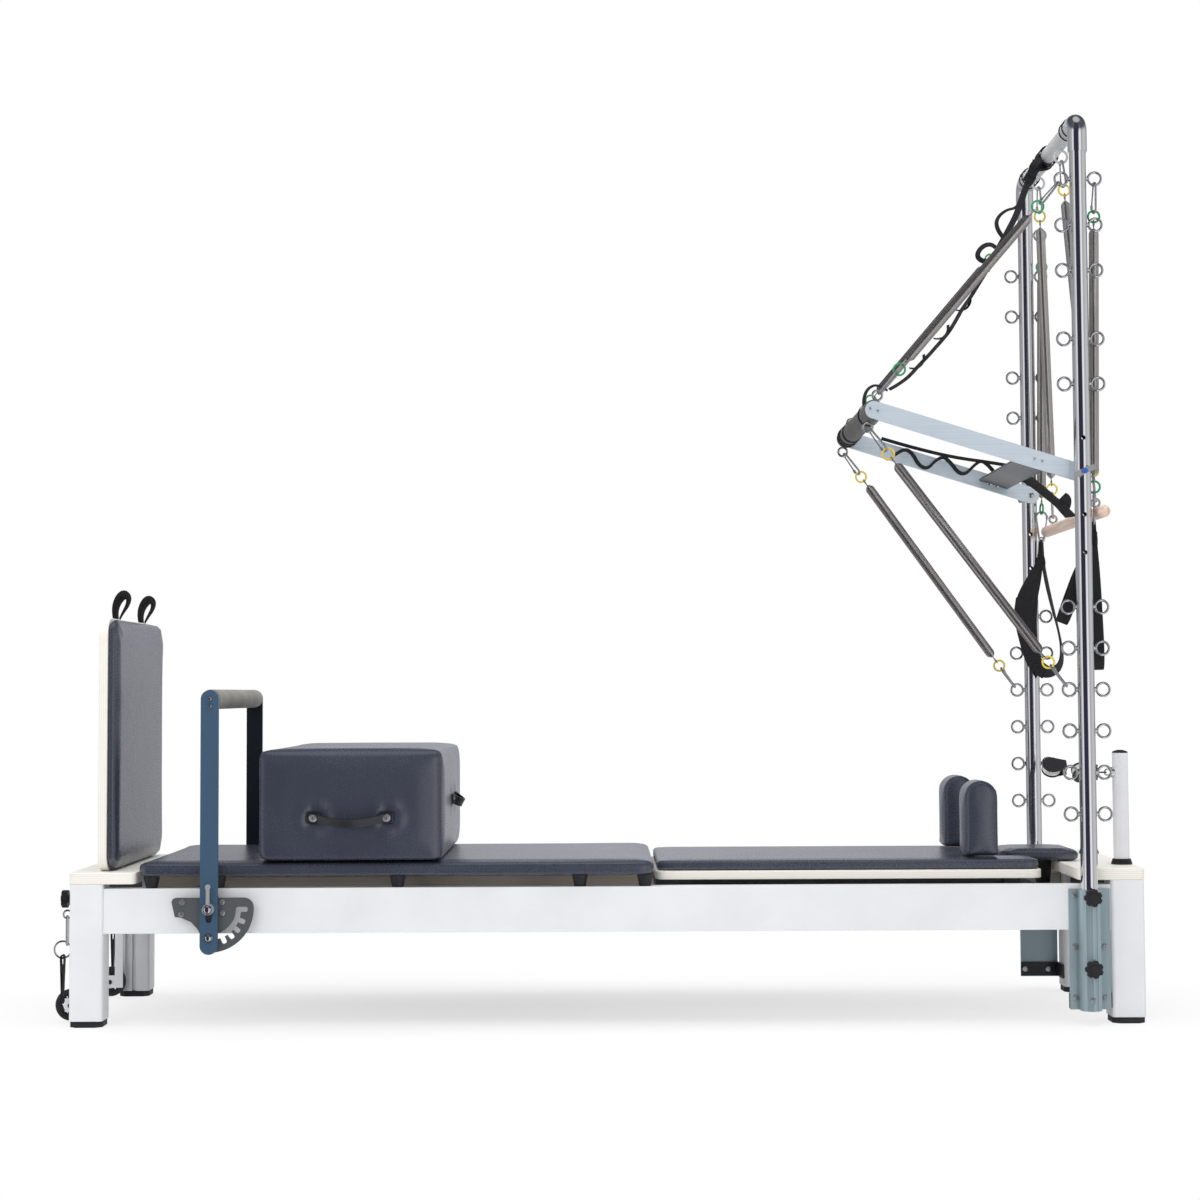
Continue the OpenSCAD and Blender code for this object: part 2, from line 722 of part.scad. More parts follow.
module post_eyes() {
  placed() color("silver") both() translate([post_x, post_y, pulley_z]) difference() {
    union() {
      rotate([0, -90, 0]) cylinder(r = 12, h = post_r + 3);
      translate([-post_r - 1, 0, 0]) rotate([0, -90, 0]) cylinder(r = 3, h = 4);
      translate([-pulley_eye, 0, 0]) rotate([90, 0, 0]) torus(7, 1.8);
    }
    cylinder(r = post_r + touch, h = 60, center = true);
    translate([0, -40, -40]) cube([80, 80, 80]);
  }
}

// Transport wheels under the foot end
module wheel_brackets() {
  placed() color("white") both() for (s = [-1, 1])
    difference() {
      union() {
        block(wheel_x - 12, -leg_out + leg_x / 2 - 20, wheel_y + s * (wheel_w / 2 + 4) - 2,
              wheel_y + s * (wheel_w / 2 + 4) + 2, wheel_z - 14, wheel_z + 16);
        rod_y(wheel_x, wheel_z, wheel_y + s * (wheel_w / 2 + 4) - 2, wheel_y + s * (wheel_w / 2 + 4) + 2, 15);
        block(-leg_out + leg_x / 2 - 40, -leg_out + leg_x / 2 - 20, wheel_y + s * (wheel_w / 2 + 4) - 2,
              wheel_y + s * (wheel_w / 2 + 4) + 2, wheel_z - 14, rail_top - 20);
      }
      rod_y(wheel_x, wheel_z, wheel_y - 40, wheel_y + 40, 5 + fit);
    }
}

module transport_wheel() {
  translate([wheel_x, 0, wheel_z]) rotate([90, 0, 0]) {
    difference() {
      rotate_extrude() polygon([[0, -wheel_w / 2], [13, -wheel_w / 2], [15, -8], [24, -8], [25, -wheel_w / 2 + 1],
        [wheel_d / 2 - 5, -wheel_w / 2 + 1], [wheel_d / 2, -5], [wheel_d / 2, 5], [wheel_d / 2 - 5, wheel_w / 2 - 1],
        [25, wheel_w / 2 - 1], [24, 8], [15, 8], [13, wheel_w / 2], [0, wheel_w / 2]]);
      for (a = [0:60:300]) rotate(a) translate([19.5, 0, -10]) cylinder(r = 3, h = 20);
    }
    translate([0, 0, -wheel_w / 2 - 9]) cylinder(r = 5, h = wheel_w + 18);
  }
}

module wheel_near() { placed() color("#222426") translate([0, -wheel_y, 0]) transport_wheel(); }
module wheel_far() { placed() color("#222426") translate([0, wheel_y, 0]) transport_wheel(); }

// Mat and sitting box
module mat_pad() {
  placed() color("#4d5361") translate([(mat_x0 + mat_x1) / 2, 0, mat_z]) cushion(mat_l, mat_w, mat_t, 26, 9, 0.6);
}

module rubber_supports() {
  placed() color("#222426") {
    both() for (x = mat_foot_x)
      translate([x, rail_y - rail_t / 2, rail_top]) cylinder(r1 = 13, r2 = 19, h = mat_foot_h);
    // Flared stop that the headrest lies on
    translate([stop_x, 0, stop_z]) cylinder(r1 = 17, r2 = 21, h = head_z - stop_z);
  }
}

module sitting_box() {
  placed() color("#4a5060") translate([box_x0 + box_x / 2, 0, mat_top])
    cushion(box_x, box_y, box_h, 22, 12, 6, 4);
}

// Leather handle about its middle, on a face whose outside is +Y: two screwed tabs and a band that
// arches outwards and sags
tab_t = 4;
band_l = 22;
function band_path(g) = [[-g + 12, 5.5], [-g * 0.6, 16], [-g * 0.28, 24.5], [0, 27], [g * 0.28, 24.5],
  [g * 0.6, 16], [g - 12, 5.5]];
module handle_band(g) {
  for (s = [-1, 1]) block(s * g - 16, s * g + 16, 0, tab_t, -band_l / 2, band_l / 2);
  rotate([-28, 0, 0]) translate([0, 0, -band_l / 2]) linear_extrude(band_l)
    polygon(concat(strap_side(band_path(g), 3, 1), flipped(strap_side(band_path(g), 3, -1))));
}

module box_handles() {
  placed() color("#1d1d20") {
    both() translate([box_x0 + box_x / 2, box_y / 2 + touch, box_screw_z]) handle_band(box_screw_gap / 2);
    translate([box_x0 + box_x + touch, 0, mat_top + 128]) rotate([0, 0, -90]) handle_band(66);
  }
}

// Jump board
module jump_outline(w, h, r) {
  translate([0, h / 2]) round_rect(w, h, r);
}

module jump_panel() {
  placed() color("#f2eadc") {
    translate([jump_x0, 0, deck_z]) rotate([90, 0, 90]) linear_extrude(jump_ply) jump_outline(jump_w, jump_h, 42);
  }
}

module jump_pad() {
  placed() color("#4d5361") translate([jump_x0 + jump_ply, 0, deck_z + jump_h / 2]) rotate([0, 90, 0])
    cushion(jump_h - 4, jump_w - 4, jump_pad_t, 40, 6, 1.2);
}

loop_y = 157;
tether_y = leg_edge - leg_y / 2;
tether_x = -leg_out - 12;
tether_z = 250;
tether_ring = [-leg_out - 22, tether_z - 79.2];
module webbing_loops() {
  placed() color("#1d1d20") {
    both() translate([jump_x0 + jump_ply, 0, jump_top])
      strap([[-11, 1], [-16, 24], [-12, 46], [2, 64], [14, 69], [29, 54], [25, 36], [8, 15], [-3, 1]], loop_y, 28, 1.6);
    // Straps that hang from the tether rings
    both() translate([tether_ring[0], tether_y, tether_ring[1]]) rotate([0, 0, 90])
      strap([[-1.2, -106], [-1.8, -50], [-3.8, -26], [-4, -20], [-3.9, -14.6], [-2.6, -12], [0, -11],
             [2.6, -12], [3.9, -14.6], [4, -20], [3.8, -26], [1.8, -50], [1.2, -106]], 0, 18, 2);
  }
}

// Eye on the leg's end face, snap link and ring, on both sides
module tether_hardware() {
  placed() color("silver") both() translate([0, tether_y, 0]) {
    translate([tether_x, 0, tether_z]) rotate([90, 0, 0]) torus(9, 2.2);
    translate([-leg_out - 4.5, 0, tether_z]) rotate([0, 90, 0]) cylinder(r = 3.5, h = 4.5);
    translate([tether_x, 0, tether_z - 68.8]) link(65, 7, link_r);
    translate([tether_ring[0], 0, tether_ring[1]]) rotate([90, 0, 0]) torus(19, 2.2);
  }
}

// Star knob with its threaded stem, its axis along Z and its seat at z = 0
module star_knob(stem) {
  translate([0, 0, -stem]) cylinder(r = knob_stem_r, h = stem + 8);
  difference() {
    union() {
      translate([0, 0, touch]) cylinder(r1 = 8, r2 = 9, h = 8);
      translate([0, 0, 8]) linear_extrude(14) difference() {
        circle(20);
        for (a = [0:360 / 7:359]) rotate(a) translate([21.5, 0]) circle(4.6);
      }
      translate([0, 0, 22]) cylinder(r1 = 12, r2 = 10, h = 2);
    }
  }
}

module jump_knob() {
  placed() color("#1d1d20") translate([-leg_out, -tether_y, rail_top - 25]) rotate([0, -90, 0]) {
    translate([0, 0, 2]) star_knob(2 - touch);
  }
}

module socket_knob(side, k) {
  placed() color("#1d1d20") translate([tower_x, side * knob_face, knob_zs[k]])
    rotate([side > 0 ? -90 : 90, 0, 0]) star_knob(socket_wall - 0.5);
}

module knob_near_top() { socket_knob(-1, 0); }
module knob_near_low() { socket_knob(-1, 1); }
module knob_far_top() { socket_knob(1, 0); }
module knob_far_low() { socket_knob(1, 1); }

// Carriage
module carriage_outline(w, l, r) {
  difference() {
    round_rect(l, w, r);
    translate([l / 2 - notch_d / 2 + 1, 0]) square([notch_d + 2, headrest_w + 2 * head_gap], center = true);
  }
}

module carriage_board() {
  placed() color("#f2eadc") translate([(car_x0 + car_x1) / 2, 0, car_z])
    linear_extrude(carriage_ply) carriage_outline(carriage_w, carriage_l, 24);
}

module rest_pegs(r, z0, z1) {
  both() for (s = [-1, 1]) translate([shoulder_x0 + shoulder_x / 2, shoulder_mid_y + s * 34, z0])
    cylinder(r = r, h = z1 - z0);
}

module carriage_pad() {
  placed() color("#4d5361") difference() {
    translate([(car_x0 + car_x1) / 2, 0, pad_z]) cushion(carriage_l - 2, carriage_w - 2, carriage_pad_t, 26, 7, 0.6);
    rest_pegs(7, pad_z - 1, car_top + 1);
    block(car_x1 - notch_d, car_x1 + 10, -headrest_w / 2 - head_gap, headrest_w / 2 + head_gap,
          pad_z - 1, pad_z + carriage_pad_t + 20);
  }
}

module shoulder_rests() {
  w = shoulder_x;
  h = shoulder_h;
  placed() color("#4d5361") {
    both() translate([shoulder_x0 + w / 2, shoulder_mid_y + shoulder_y / 2, car_top]) rotate([90, 0, 0])
      linear_extrude(shoulder_y) {
        translate([0, (h - w / 2) / 2]) square([w, h - w / 2], center = true);
        translate([0, h - w / 2]) circle(w / 2);
      }
    rest_pegs(6, pad_z, car_top + 5);
  }
}

module axle_bore() {
  for (x = axle_x) rod_y(x, axle_z, -rail_in, rail_in, axle_r + fit);
}

module carriage_chassis() {
  z0 = car_z - chassis_t;
  placed() color("#2b2e33") {
    difference() {
      union() {
        both() block(car_x0 + 54, car_x1 - 45, chassis_y - chassis_w / 2, chassis_y + chassis_w / 2, z0, car_z);
        block(car_x0, car_x0 + 54, -carriage_w / 2 + 12, carriage_w / 2 - 12, z0 + 4, car_z);
        block(car_x1 - 150, car_x1 - notch_d - 10, -chassis_y + chassis_w / 2, chassis_y - chassis_w / 2, z0, car_z);
        both() for (x = axle_x)
          block(x - 18, x + 18, hanger_y, hanger_y + hanger_t, axle_z - 14, car_z);
        both() for (x = axle_x)
          block(x - 18, x + 18, chassis_y + chassis_w / 2, hanger_y, z0, car_z);
      }
      axle_bore();
    }
    // Plate that carries the headrest's hinge
    difference() {
      union() {
        block(car_x1 - notch_d - 10, hinge_x + 10, -ear_y - ear_t, ear_y + ear_t, tongue_z, tongue_z + tongue_t);
        both() block(hinge_x - 9, hinge_x + 9, ear_y, ear_y + ear_t, tongue_z + tongue_t, hinge_z + 7);
      }
      rod_y(hinge_x, hinge_z, -ear_y - 10, ear_y + 10, hinge_r);
    }
    rod_y(hinge_x, hinge_z, -ear_y - ear_t, ear_y + ear_t, hinge_r);
  }
}

module wheelset(x) {
  placed() color("#d8d8d4") {
    rod_y(x, axle_z, -rail_in + track_t + 4, rail_in - track_t - 4, axle_r);
    both() rod_y(x, axle_z, rail_in - track_w + 2, rail_in - track_t - 3, roller_d / 2);
  }
}

module wheelset_foot() { wheelset(axle_x[0]); }
module wheelset_head() { wheelset(axle_x[1]); }

module headrest_pad() {
  placed() color("#4d5361") translate([head_x0 + headrest_l / 2, 0, head_z + touch])
    cushion(headrest_l, headrest_w, headrest_t, 30, 8, 1.5);
}

module headrest_hinge() {
  placed() color("#222426") difference() {
    union() {
      rod_y(hinge_x, hinge_z, touch - ear_y, ear_y - touch, 8);
      block(hinge_x, hinge_x + 30, -50, 50, hinge_z + 3, head_z + touch);
    }
    rod_y(hinge_x, hinge_z, -ear_y, ear_y, hinge_r + fit);
  }
}

// Foot bar
bar_end = footbar_top - arm_w / 2;
module footbar_arms() {
  placed() color("#3f5f7d") both() {
    difference() {
      translate([pivot_x, arm_out, (bar_end + arm_low + arm_w / 2) / 2]) rotate([90, 0, 0])
        linear_extrude(arm_t) round_rect(arm_w, bar_end + arm_w / 2 - arm_low, arm_w / 2 - eps);
      rod_y(pivot_x, bar_z, arm_y - 1, arm_out + 1, bolt_r + fit);
      rod_y(pivot_x, bar_z - slot_l, arm_y - 1, arm_out + 1, bolt_r + fit);
      block(pivot_x - bolt_r - fit, pivot_x + bolt_r + fit, arm_y - 1, arm_out + 1, bar_z - slot_l, bar_z);
    }
    // Locking pin that reaches through the comb's window
    rod_y(pivot_x, bar_z - pin_path, plate_y - 3, arm_y, pin_r);
    rod_y(pivot_x, bar_z - pin_path, arm_out, arm_out + 4, 7);
    for (z = [bar_end, bar_end - 16]) dome(pivot_x, arm_out, z, 5);
  }
}

module footbar_grip() {
  placed() color("#8f8c86") {
    rod_y(pivot_x, bar_end - 1, -arm_y + 10, arm_y - 10, grip_d / 2);
    both() rod_y(pivot_x, bar_end - 1, arm_y - 10, arm_y, grip_d / 2 - 3);
  }
}

module clamp_lever(side) {
  placed() color("#3a3d42") translate([pivot_x, side * (arm_out + 4 + touch), bar_z]) rotate([90, 0, 0])
    mirror([0, 0, side > 0 ? 1 : 0]) {
      difference() {
        cylinder(r1 = 13, r2 = 12, h = 14);
        translate([0, 0, -1]) cylinder(r = bolt_r + fit, h = 1 + 3);
      }
      translate([0, 0, 5]) linear_extrude(7) {
        translate([-4, 0]) square([8, 50]);
        translate([0, 50]) circle(6);
      }
    }
}

module lever_near() { clamp_lever(-1); }
module lever_far() { clamp_lever(1); }

// Push-through bar
module ptb_arms() {
  placed() color("#b9c8dc") both() {
    translate([tower_x, ptb_y + arm_t, pivot_z]) rotate([90, ptb_slope - 180, 0]) linear_extrude(arm_t) {
      translate([0, -arm_w / 2]) square([ptb_l, arm_w]);
      circle(arm_w / 2);
      translate([ptb_l, 0]) circle(arm_w / 2);
    }
    for (k = [ptb_l - 9, ptb_l + 9, brace_at - 9, brace_at + 9])
      dome(tower_x - k * cos(ptb_slope), ptb_y + arm_t, pivot_z + k * sin(ptb_slope), 3);
    // Release pin through the upright, with its cross plate and button
    rod_y(tower_x, pivot_z, ptb_y, tube_y + tube_r + 3, hole_r - 0.1);
    translate([tower_x, tube_y + tube_r + 9, pivot_z]) rotate([90, -24, 0]) linear_extrude(6) round_rect(52, 13, 5);
    rod_y(tower_x, pivot_z, tube_y + tube_r + 9, tube_y + tube_r + 14, 6);
  }
}

module ptb_grip() {
  placed() color("#8f8c86") {
    rod_y(ptb_end[0], ptb_end[1], -ptb_y, ptb_y, ptb_r);
    both() for (s = [-1, 1]) translate([ptb_end[0], ptb_eye_y, ptb_end[1]])
      rotate([0, ptb_slope + (s > 0 ? 0 : 180), 0]) difference() {
        union() {
          translate([0, 0, ptb_eye_off]) rotate([90, 0, 0]) torus(ptb_eye_R, eye_r);
          translate([0, 0, ptb_r - 4]) cylinder(r = 3, h = 6);
        }
        rotate([90, 0, 0]) cylinder(r = ptb_r - 2, h = 40, center = true);
      }
  }
}

module ptb_brace() {
  placed() color("#55595c") translate([tower_x, 0, pivot_z]) rotate([0, ptb_slope, 0])
    block(-brace_at - brace_w / 2, -brace_at + brace_w / 2, -ptb_y, ptb_y, -brace_t / 2, brace_t / 2);
}

// Springs
module upper_springs() { placed() color("#8d8a86") both() spring_set(upper_a, upper_b); }
module lower_springs() { placed() color("#8d8a86") both() spring_set(lower_a, lower_b); }
module rolldown_springs() { placed() color("#8d8a86") both() spring_set(bar_a, bar_b); }

module rolldown_bar() {
  placed() color("#dcc0a4") {
    rod_y(dowel_x, dowel_z, -dowel_l / 2 + 8, dowel_l / 2 - 8, dowel_r);
    both() translate([dowel_x, dowel_l / 2 - 8, dowel_z]) rotate([-90, 0, 0])
      cylinder(r1 = dowel_r, r2 = dowel_r - 6, h = 8);
    both() translate([dowel_x, dowel_eye_y, dowel_z]) difference() {
      union() {
        translate([0, 0, dowel_r + 11]) rotate([90, 0, 0]) torus(dowel_eye_R, eye_r);
        cylinder(r = 3, h = dowel_r + 3);
      }
      rotate([90, 0, 0]) cylinder(r = dowel_r, h = 60, center = true);
    }
  }
}

// Strap loops that hang beside the uprights, drawn from the chain's end, [along X, up]
split_legs = [[-5, -38], [6, -38], [7, -58], [8, -90], [17, -326], [-10, -326], [-10, -90], [-11, -58],
  [-48, -102], [-61, -220], [-88, -220], [-70, -102], [-14, -47]];
wide_loop = [[-6, -38], [6, -38], [12, -58], [30, -158], [48, -258], [50, -303], [30, -333], [-10, -343],
  [-43, -335], [-60, -268], [-76, -183], [-33, -52]];
wide_gap = [[-2, -68], [20, -178], [36, -258], [34, -293], [18, -313], [-12, -312], [-25, -268], [-20, -183],
  [-12, -78]];
strap_in = tube_y - tube_r - 6;

module loop_strap(side) {
  // Bunched webbing that passes through the carabiner
  translate([chain_x, 0, loop_b[2]]) {
    translate([0, side * chain_y, first_link - 0.2]) rotate([90, 0, 0]) torus(5, 2);
    translate([-4, 0, 0]) rotate([90, 0, 90]) linear_extrude(8)
      polygon([for (p = [[chain_y - 3, 4], [chain_y + 3, 4], [strap_in + 5, -50], [strap_in, -50]])
        [side * p[0], p[1]]]);
    translate([0, side * strap_in + (side > 0 ? 4 : 0), 0]) rotate([90, 0, 0]) linear_extrude(4) difference() {
      polygon(side < 0 ? split_legs : wide_loop);
      if (side > 0) polygon(wide_gap);
    }
  }
}

module loop_set(side) {
  placed() {
    color("#8d8a86") {
      spring_set([loop_a[0], side * loop_a[1], loop_a[2]], [loop_b[0], side * loop_b[1], loop_b[2]],
                 loop_extra, false);
      // Upper carabiner, tilted so that the spring hangs beside the other eyebolts
      translate([hang_x, side * tube_y, hang_z - eye_R]) rotate([180 - side * chain_tilt, 0, 0])
        translate([0, 0, first_link - eye_R]) link(link_l, link_half, link_r);
    }
    color("#1d1d20") loop_strap(side);
  }
}

module loops_near() { loop_set(-1); }
module loops_far() { loop_set(1); }

// Pulleys that hang tilted on the post eyes and point to the foot end, drawn for the far side
pulley_r = 22;
pulley_off = pulley_eye + 59;
pulley_bow = pulley_eye + 3.3;
pulley_tail = 36;
pulley_tilt = 45;
module pulley_case() {
  placed() color("#222426") translate([post_x, post_y, pulley_z]) {
    rotate([-pulley_tilt, 0, 0]) {
      difference() {
        for (s = [-1, 1]) translate([-pulley_off, s * 9.5 + 1.5, 0]) rotate([90, 0, 0]) linear_extrude(3) {
          circle(pulley_r + 2);
          polygon([[8, -pulley_r], [pulley_tail, -14], [pulley_tail, 14], [8, pulley_r]]);
        }
        rod_y(-pulley_off, 0, -20, 20, 4);
      }
      translate([pulley_tail - 4 - pulley_off, -11, -8]) cube([4, 22, 16]);
      rod_y(-pulley_off, 0, -11, 11, 4);
    }
    translate([-pulley_bow, 0, 0]) rotate([0, -90, 0]) link(pulley_off - pulley_tail - pulley_bow + 2.3, 4.3, 1.6);
  }
}

module pulley_near() { mirror([0, 1, 0]) pulley_case(); }
module pulley_far() { pulley_case(); }

module sheave() {
  placed() color("#e8e8ea") translate([post_x - pulley_off, post_y, pulley_z]) rotate([90 - pulley_tilt, 0, 0])
    difference() {
      rotate_extrude() polygon([[0, -7], [pulley_r, -7], [pulley_r - 6, -3], [pulley_r - 6, 3], [pulley_r, 7], [0, 7]]);
      cylinder(r = 4 + fit, h = 20, center = true);
    }
}

module sheave_near() { mirror([0, 1, 0]) sheave(); }
module sheave_far() { sheave(); }

side_rails();
carriage_tracks();
corner_legs();
leg_feet();
end_boards();
cross_beams();
reformer_springs();
sector_plates();
pivot_bolts();
frame_bolts();
tower_sockets();
socket_braces();
tower_uprights();
tower_elbows();
tower_crossbar();
tower_eyebolts();
pulley_posts();
post_trim();
post_eyes();
wheel_brackets();
mat_pad();
rubber_supports();
sitting_box();
box_handles();
jump_panel();
jump_pad();
webbing_loops();
tether_hardware();
jump_knob();
knob_near_top();
knob_near_low();
knob_far_top();
knob_far_low();
wheel_near();
wheel_far();
carriage_board();
carriage_pad();
shoulder_rests();
carriage_chassis();
wheelset_foot();
wheelset_head();
headrest_pad();
headrest_hinge();
footbar_arms();
footbar_grip();
lever_near();
lever_far();
ptb_arms();
ptb_grip();
ptb_brace();
upper_springs();
lower_springs();
rolldown_springs();
rolldown_bar();
loops_near();
loops_far();
pulley_near();
pulley_far();
sheave_near();
sheave_far();
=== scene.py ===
# %% [markdown]
# # A pilates reformer with a half tower
# The object is a long white frame that carries a mat, a sitting box, a jump board, a rolling
# carriage and a tall steel tower with springs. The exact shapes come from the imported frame.
# This script dresses them: it softens edges, builds the upholstery, winds the springs, ties the
# straps and mixes every finish from nodes. The frame is loaded first, because all the pieces
# ride on its bodies and use its coordinates, in metres.

import json
import math

import bmesh
import bpy
from mathutils import Matrix, Vector
from mathutils.bvhtree import BVHTree


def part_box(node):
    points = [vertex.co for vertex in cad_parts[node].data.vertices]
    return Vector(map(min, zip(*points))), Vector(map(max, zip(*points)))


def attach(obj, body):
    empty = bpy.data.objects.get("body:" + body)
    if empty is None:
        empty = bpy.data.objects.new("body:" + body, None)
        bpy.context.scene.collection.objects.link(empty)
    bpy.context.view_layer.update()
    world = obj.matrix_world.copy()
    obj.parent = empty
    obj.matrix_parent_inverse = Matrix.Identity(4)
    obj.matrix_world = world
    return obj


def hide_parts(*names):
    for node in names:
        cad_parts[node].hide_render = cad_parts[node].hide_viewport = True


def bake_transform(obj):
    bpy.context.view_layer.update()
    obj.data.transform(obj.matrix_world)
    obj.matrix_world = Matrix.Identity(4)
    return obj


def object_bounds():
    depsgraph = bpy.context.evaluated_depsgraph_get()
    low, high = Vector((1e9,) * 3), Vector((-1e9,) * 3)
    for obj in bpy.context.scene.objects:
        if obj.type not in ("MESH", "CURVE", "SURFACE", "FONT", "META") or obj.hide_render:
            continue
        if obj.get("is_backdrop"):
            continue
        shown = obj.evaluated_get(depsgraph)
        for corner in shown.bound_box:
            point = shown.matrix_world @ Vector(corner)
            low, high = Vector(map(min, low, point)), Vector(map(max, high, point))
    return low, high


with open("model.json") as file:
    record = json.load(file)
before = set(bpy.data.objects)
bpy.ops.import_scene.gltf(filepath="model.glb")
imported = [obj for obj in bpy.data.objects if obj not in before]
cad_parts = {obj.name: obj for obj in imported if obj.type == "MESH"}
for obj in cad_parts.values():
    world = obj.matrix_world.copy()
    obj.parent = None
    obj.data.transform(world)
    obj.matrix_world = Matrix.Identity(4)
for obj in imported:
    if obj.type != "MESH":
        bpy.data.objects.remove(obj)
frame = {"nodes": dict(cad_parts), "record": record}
cad_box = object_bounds()

# %% [markdown]
# ## Millimetres to metres
# The drawing of this product is in millimetres, counted from the middle of its bed, and the
# frame's origin lies 24 mm from there. A few small helpers turn drawing positions into Blender
# vectors and back, so that the numbers below read like the drawing's.

# %% Positions
SHIFT = 24.0
SIDES = (("near", -1), ("far", 1))


def mm(value):
    return value / 1000


def at(x, y, z):
    return Vector((mm(x + SHIFT), mm(y), mm(z)))


def drawn(place):
    return place * 1000 - Vector((SHIFT, 0, 0))


def node_box(node):
    """The lowest and highest corner of a node, in drawing millimetres."""
    return [(x * 1000 - SHIFT, y * 1000, z * 1000) for x, y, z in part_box(node)]


def middle(low, high, axis):
    return (low[axis] + high[axis]) / 2


TUBE_X, TUBE_Y = 1082.0, 346.0
BEAM_Z = 2042.0
PIVOT_Z = 1240.0
PTB_LENGTH, PTB_SLOPE = 490.0, math.radians(17.4)
PTB_UP = (math.sin(PTB_SLOPE), math.cos(PTB_SLOPE))


def on_arm(reach):
    """X and Z of a point on the push-through bar's arm, by its distance from the pivot."""
    return TUBE_X - reach * math.cos(PTB_SLOPE), PIVOT_Z + reach * math.sin(PTB_SLOPE)


PTB_END = on_arm(PTB_LENGTH)
print("push-through grip at", [round(v) for v in PTB_END])

# %% [markdown]
# ## The camera
# The photograph was taken with a long lens from near the floor, almost square to the side of
# the bed. A long lens keeps the far side nearly as large as the near side. The camera comes
# first, because every later judgement is made through it. Its place was worked out from the
# frame's corners, and a small lens shift puts the middle of the picture where it belongs.

# %% Camera
LENS_PX = 2443.4708
YAW, PITCH, ROLL = -0.0029, 0.06, -0.0047
EYE = at(-9.1315, -5860.2936, 744.6506)

forward = Vector((math.sin(YAW) * math.cos(PITCH), math.cos(YAW) * math.cos(PITCH), math.sin(PITCH)))
level = Vector((math.cos(YAW), -math.sin(YAW), 0))
above = level.cross(forward)
right = math.cos(ROLL) * level + math.sin(ROLL) * above
up = -math.sin(ROLL) * level + math.cos(ROLL) * above

camera = bpy.data.objects.new("camera", bpy.data.cameras.new("camera"))
bpy.context.scene.collection.objects.link(camera)
camera.data.sensor_width = 36
camera.data.lens = LENS_PX / 1200 * 36
camera.data.shift_x = 6.2225 / 1200
camera.data.shift_y = -53.4731 / 1200
camera.data.clip_end = 60
turn = Matrix((right, up, -forward)).transposed().to_4x4()
camera.matrix_world = Matrix.Translation(EYE) @ turn
bpy.context.scene.camera = camera
print("lens", round(camera.data.lens, 1), "mm")

# %% [markdown]
# ## Shader maths as plain expressions
# Every finish here is procedural: a few noises and waves steer colour, roughness and relief.
# Wiring such nodes one by one is hard to read. Instead a small class wraps a socket, and the
# usual operators add the Math nodes, so `1 - mask * 0.3` is both the thought and the code.
# Colours go through Mix nodes, because a Math node would turn them grey.

# %% Sockets as values


class Wire:
    """The output of a shader node, ready for arithmetic."""

    def __init__(self, recipe, socket):
        self.recipe, self.socket = recipe, socket

    def maths(self, operation, *values):
        return self.recipe.node("ShaderNodeMath", {"operation": operation}, dict(enumerate(values)))

    def __add__(self, other):
        return self.maths("ADD", self, other)

    def __sub__(self, other):
        return self.maths("SUBTRACT", self, other)

    def __mul__(self, other):
        return self.maths("MULTIPLY", self, other)

    def __truediv__(self, other):
        return self.maths("DIVIDE", self, other)

    def __radd__(self, other):
        return self.maths("ADD", other, self)

    def __rsub__(self, other):
        return self.maths("SUBTRACT", other, self)

    def __pow__(self, other):
        return self.maths("POWER", self, other)

    def wave(self):
        return self.maths("SINE", self)

    def part(self):
        return self.maths("FRACT", self)

    def size(self):
        return self.maths("ABSOLUTE", self)

    def spread(self, low, high, new_low=0.0, new_high=1.0):
        values = {"Value": self, "From Min": low, "From Max": high, "To Min": new_low, "To Max": new_high}
        return self.recipe.node("ShaderNodeMapRange", {"interpolation_type": "SMOOTHSTEP"}, values)


# %% [markdown]
# ## A recipe for a finish
# A finish always has the same skeleton: one Principled shader, a few textures read in the
# object's own coordinates, and a Bump node for relief. The class below holds that skeleton.
# Its `node` method adds any node, `noise` and `cells` add the two textures used most, and
# `relief` turns a height into a normal. Constants are set straight on the shader's sockets.

# %% Recipe


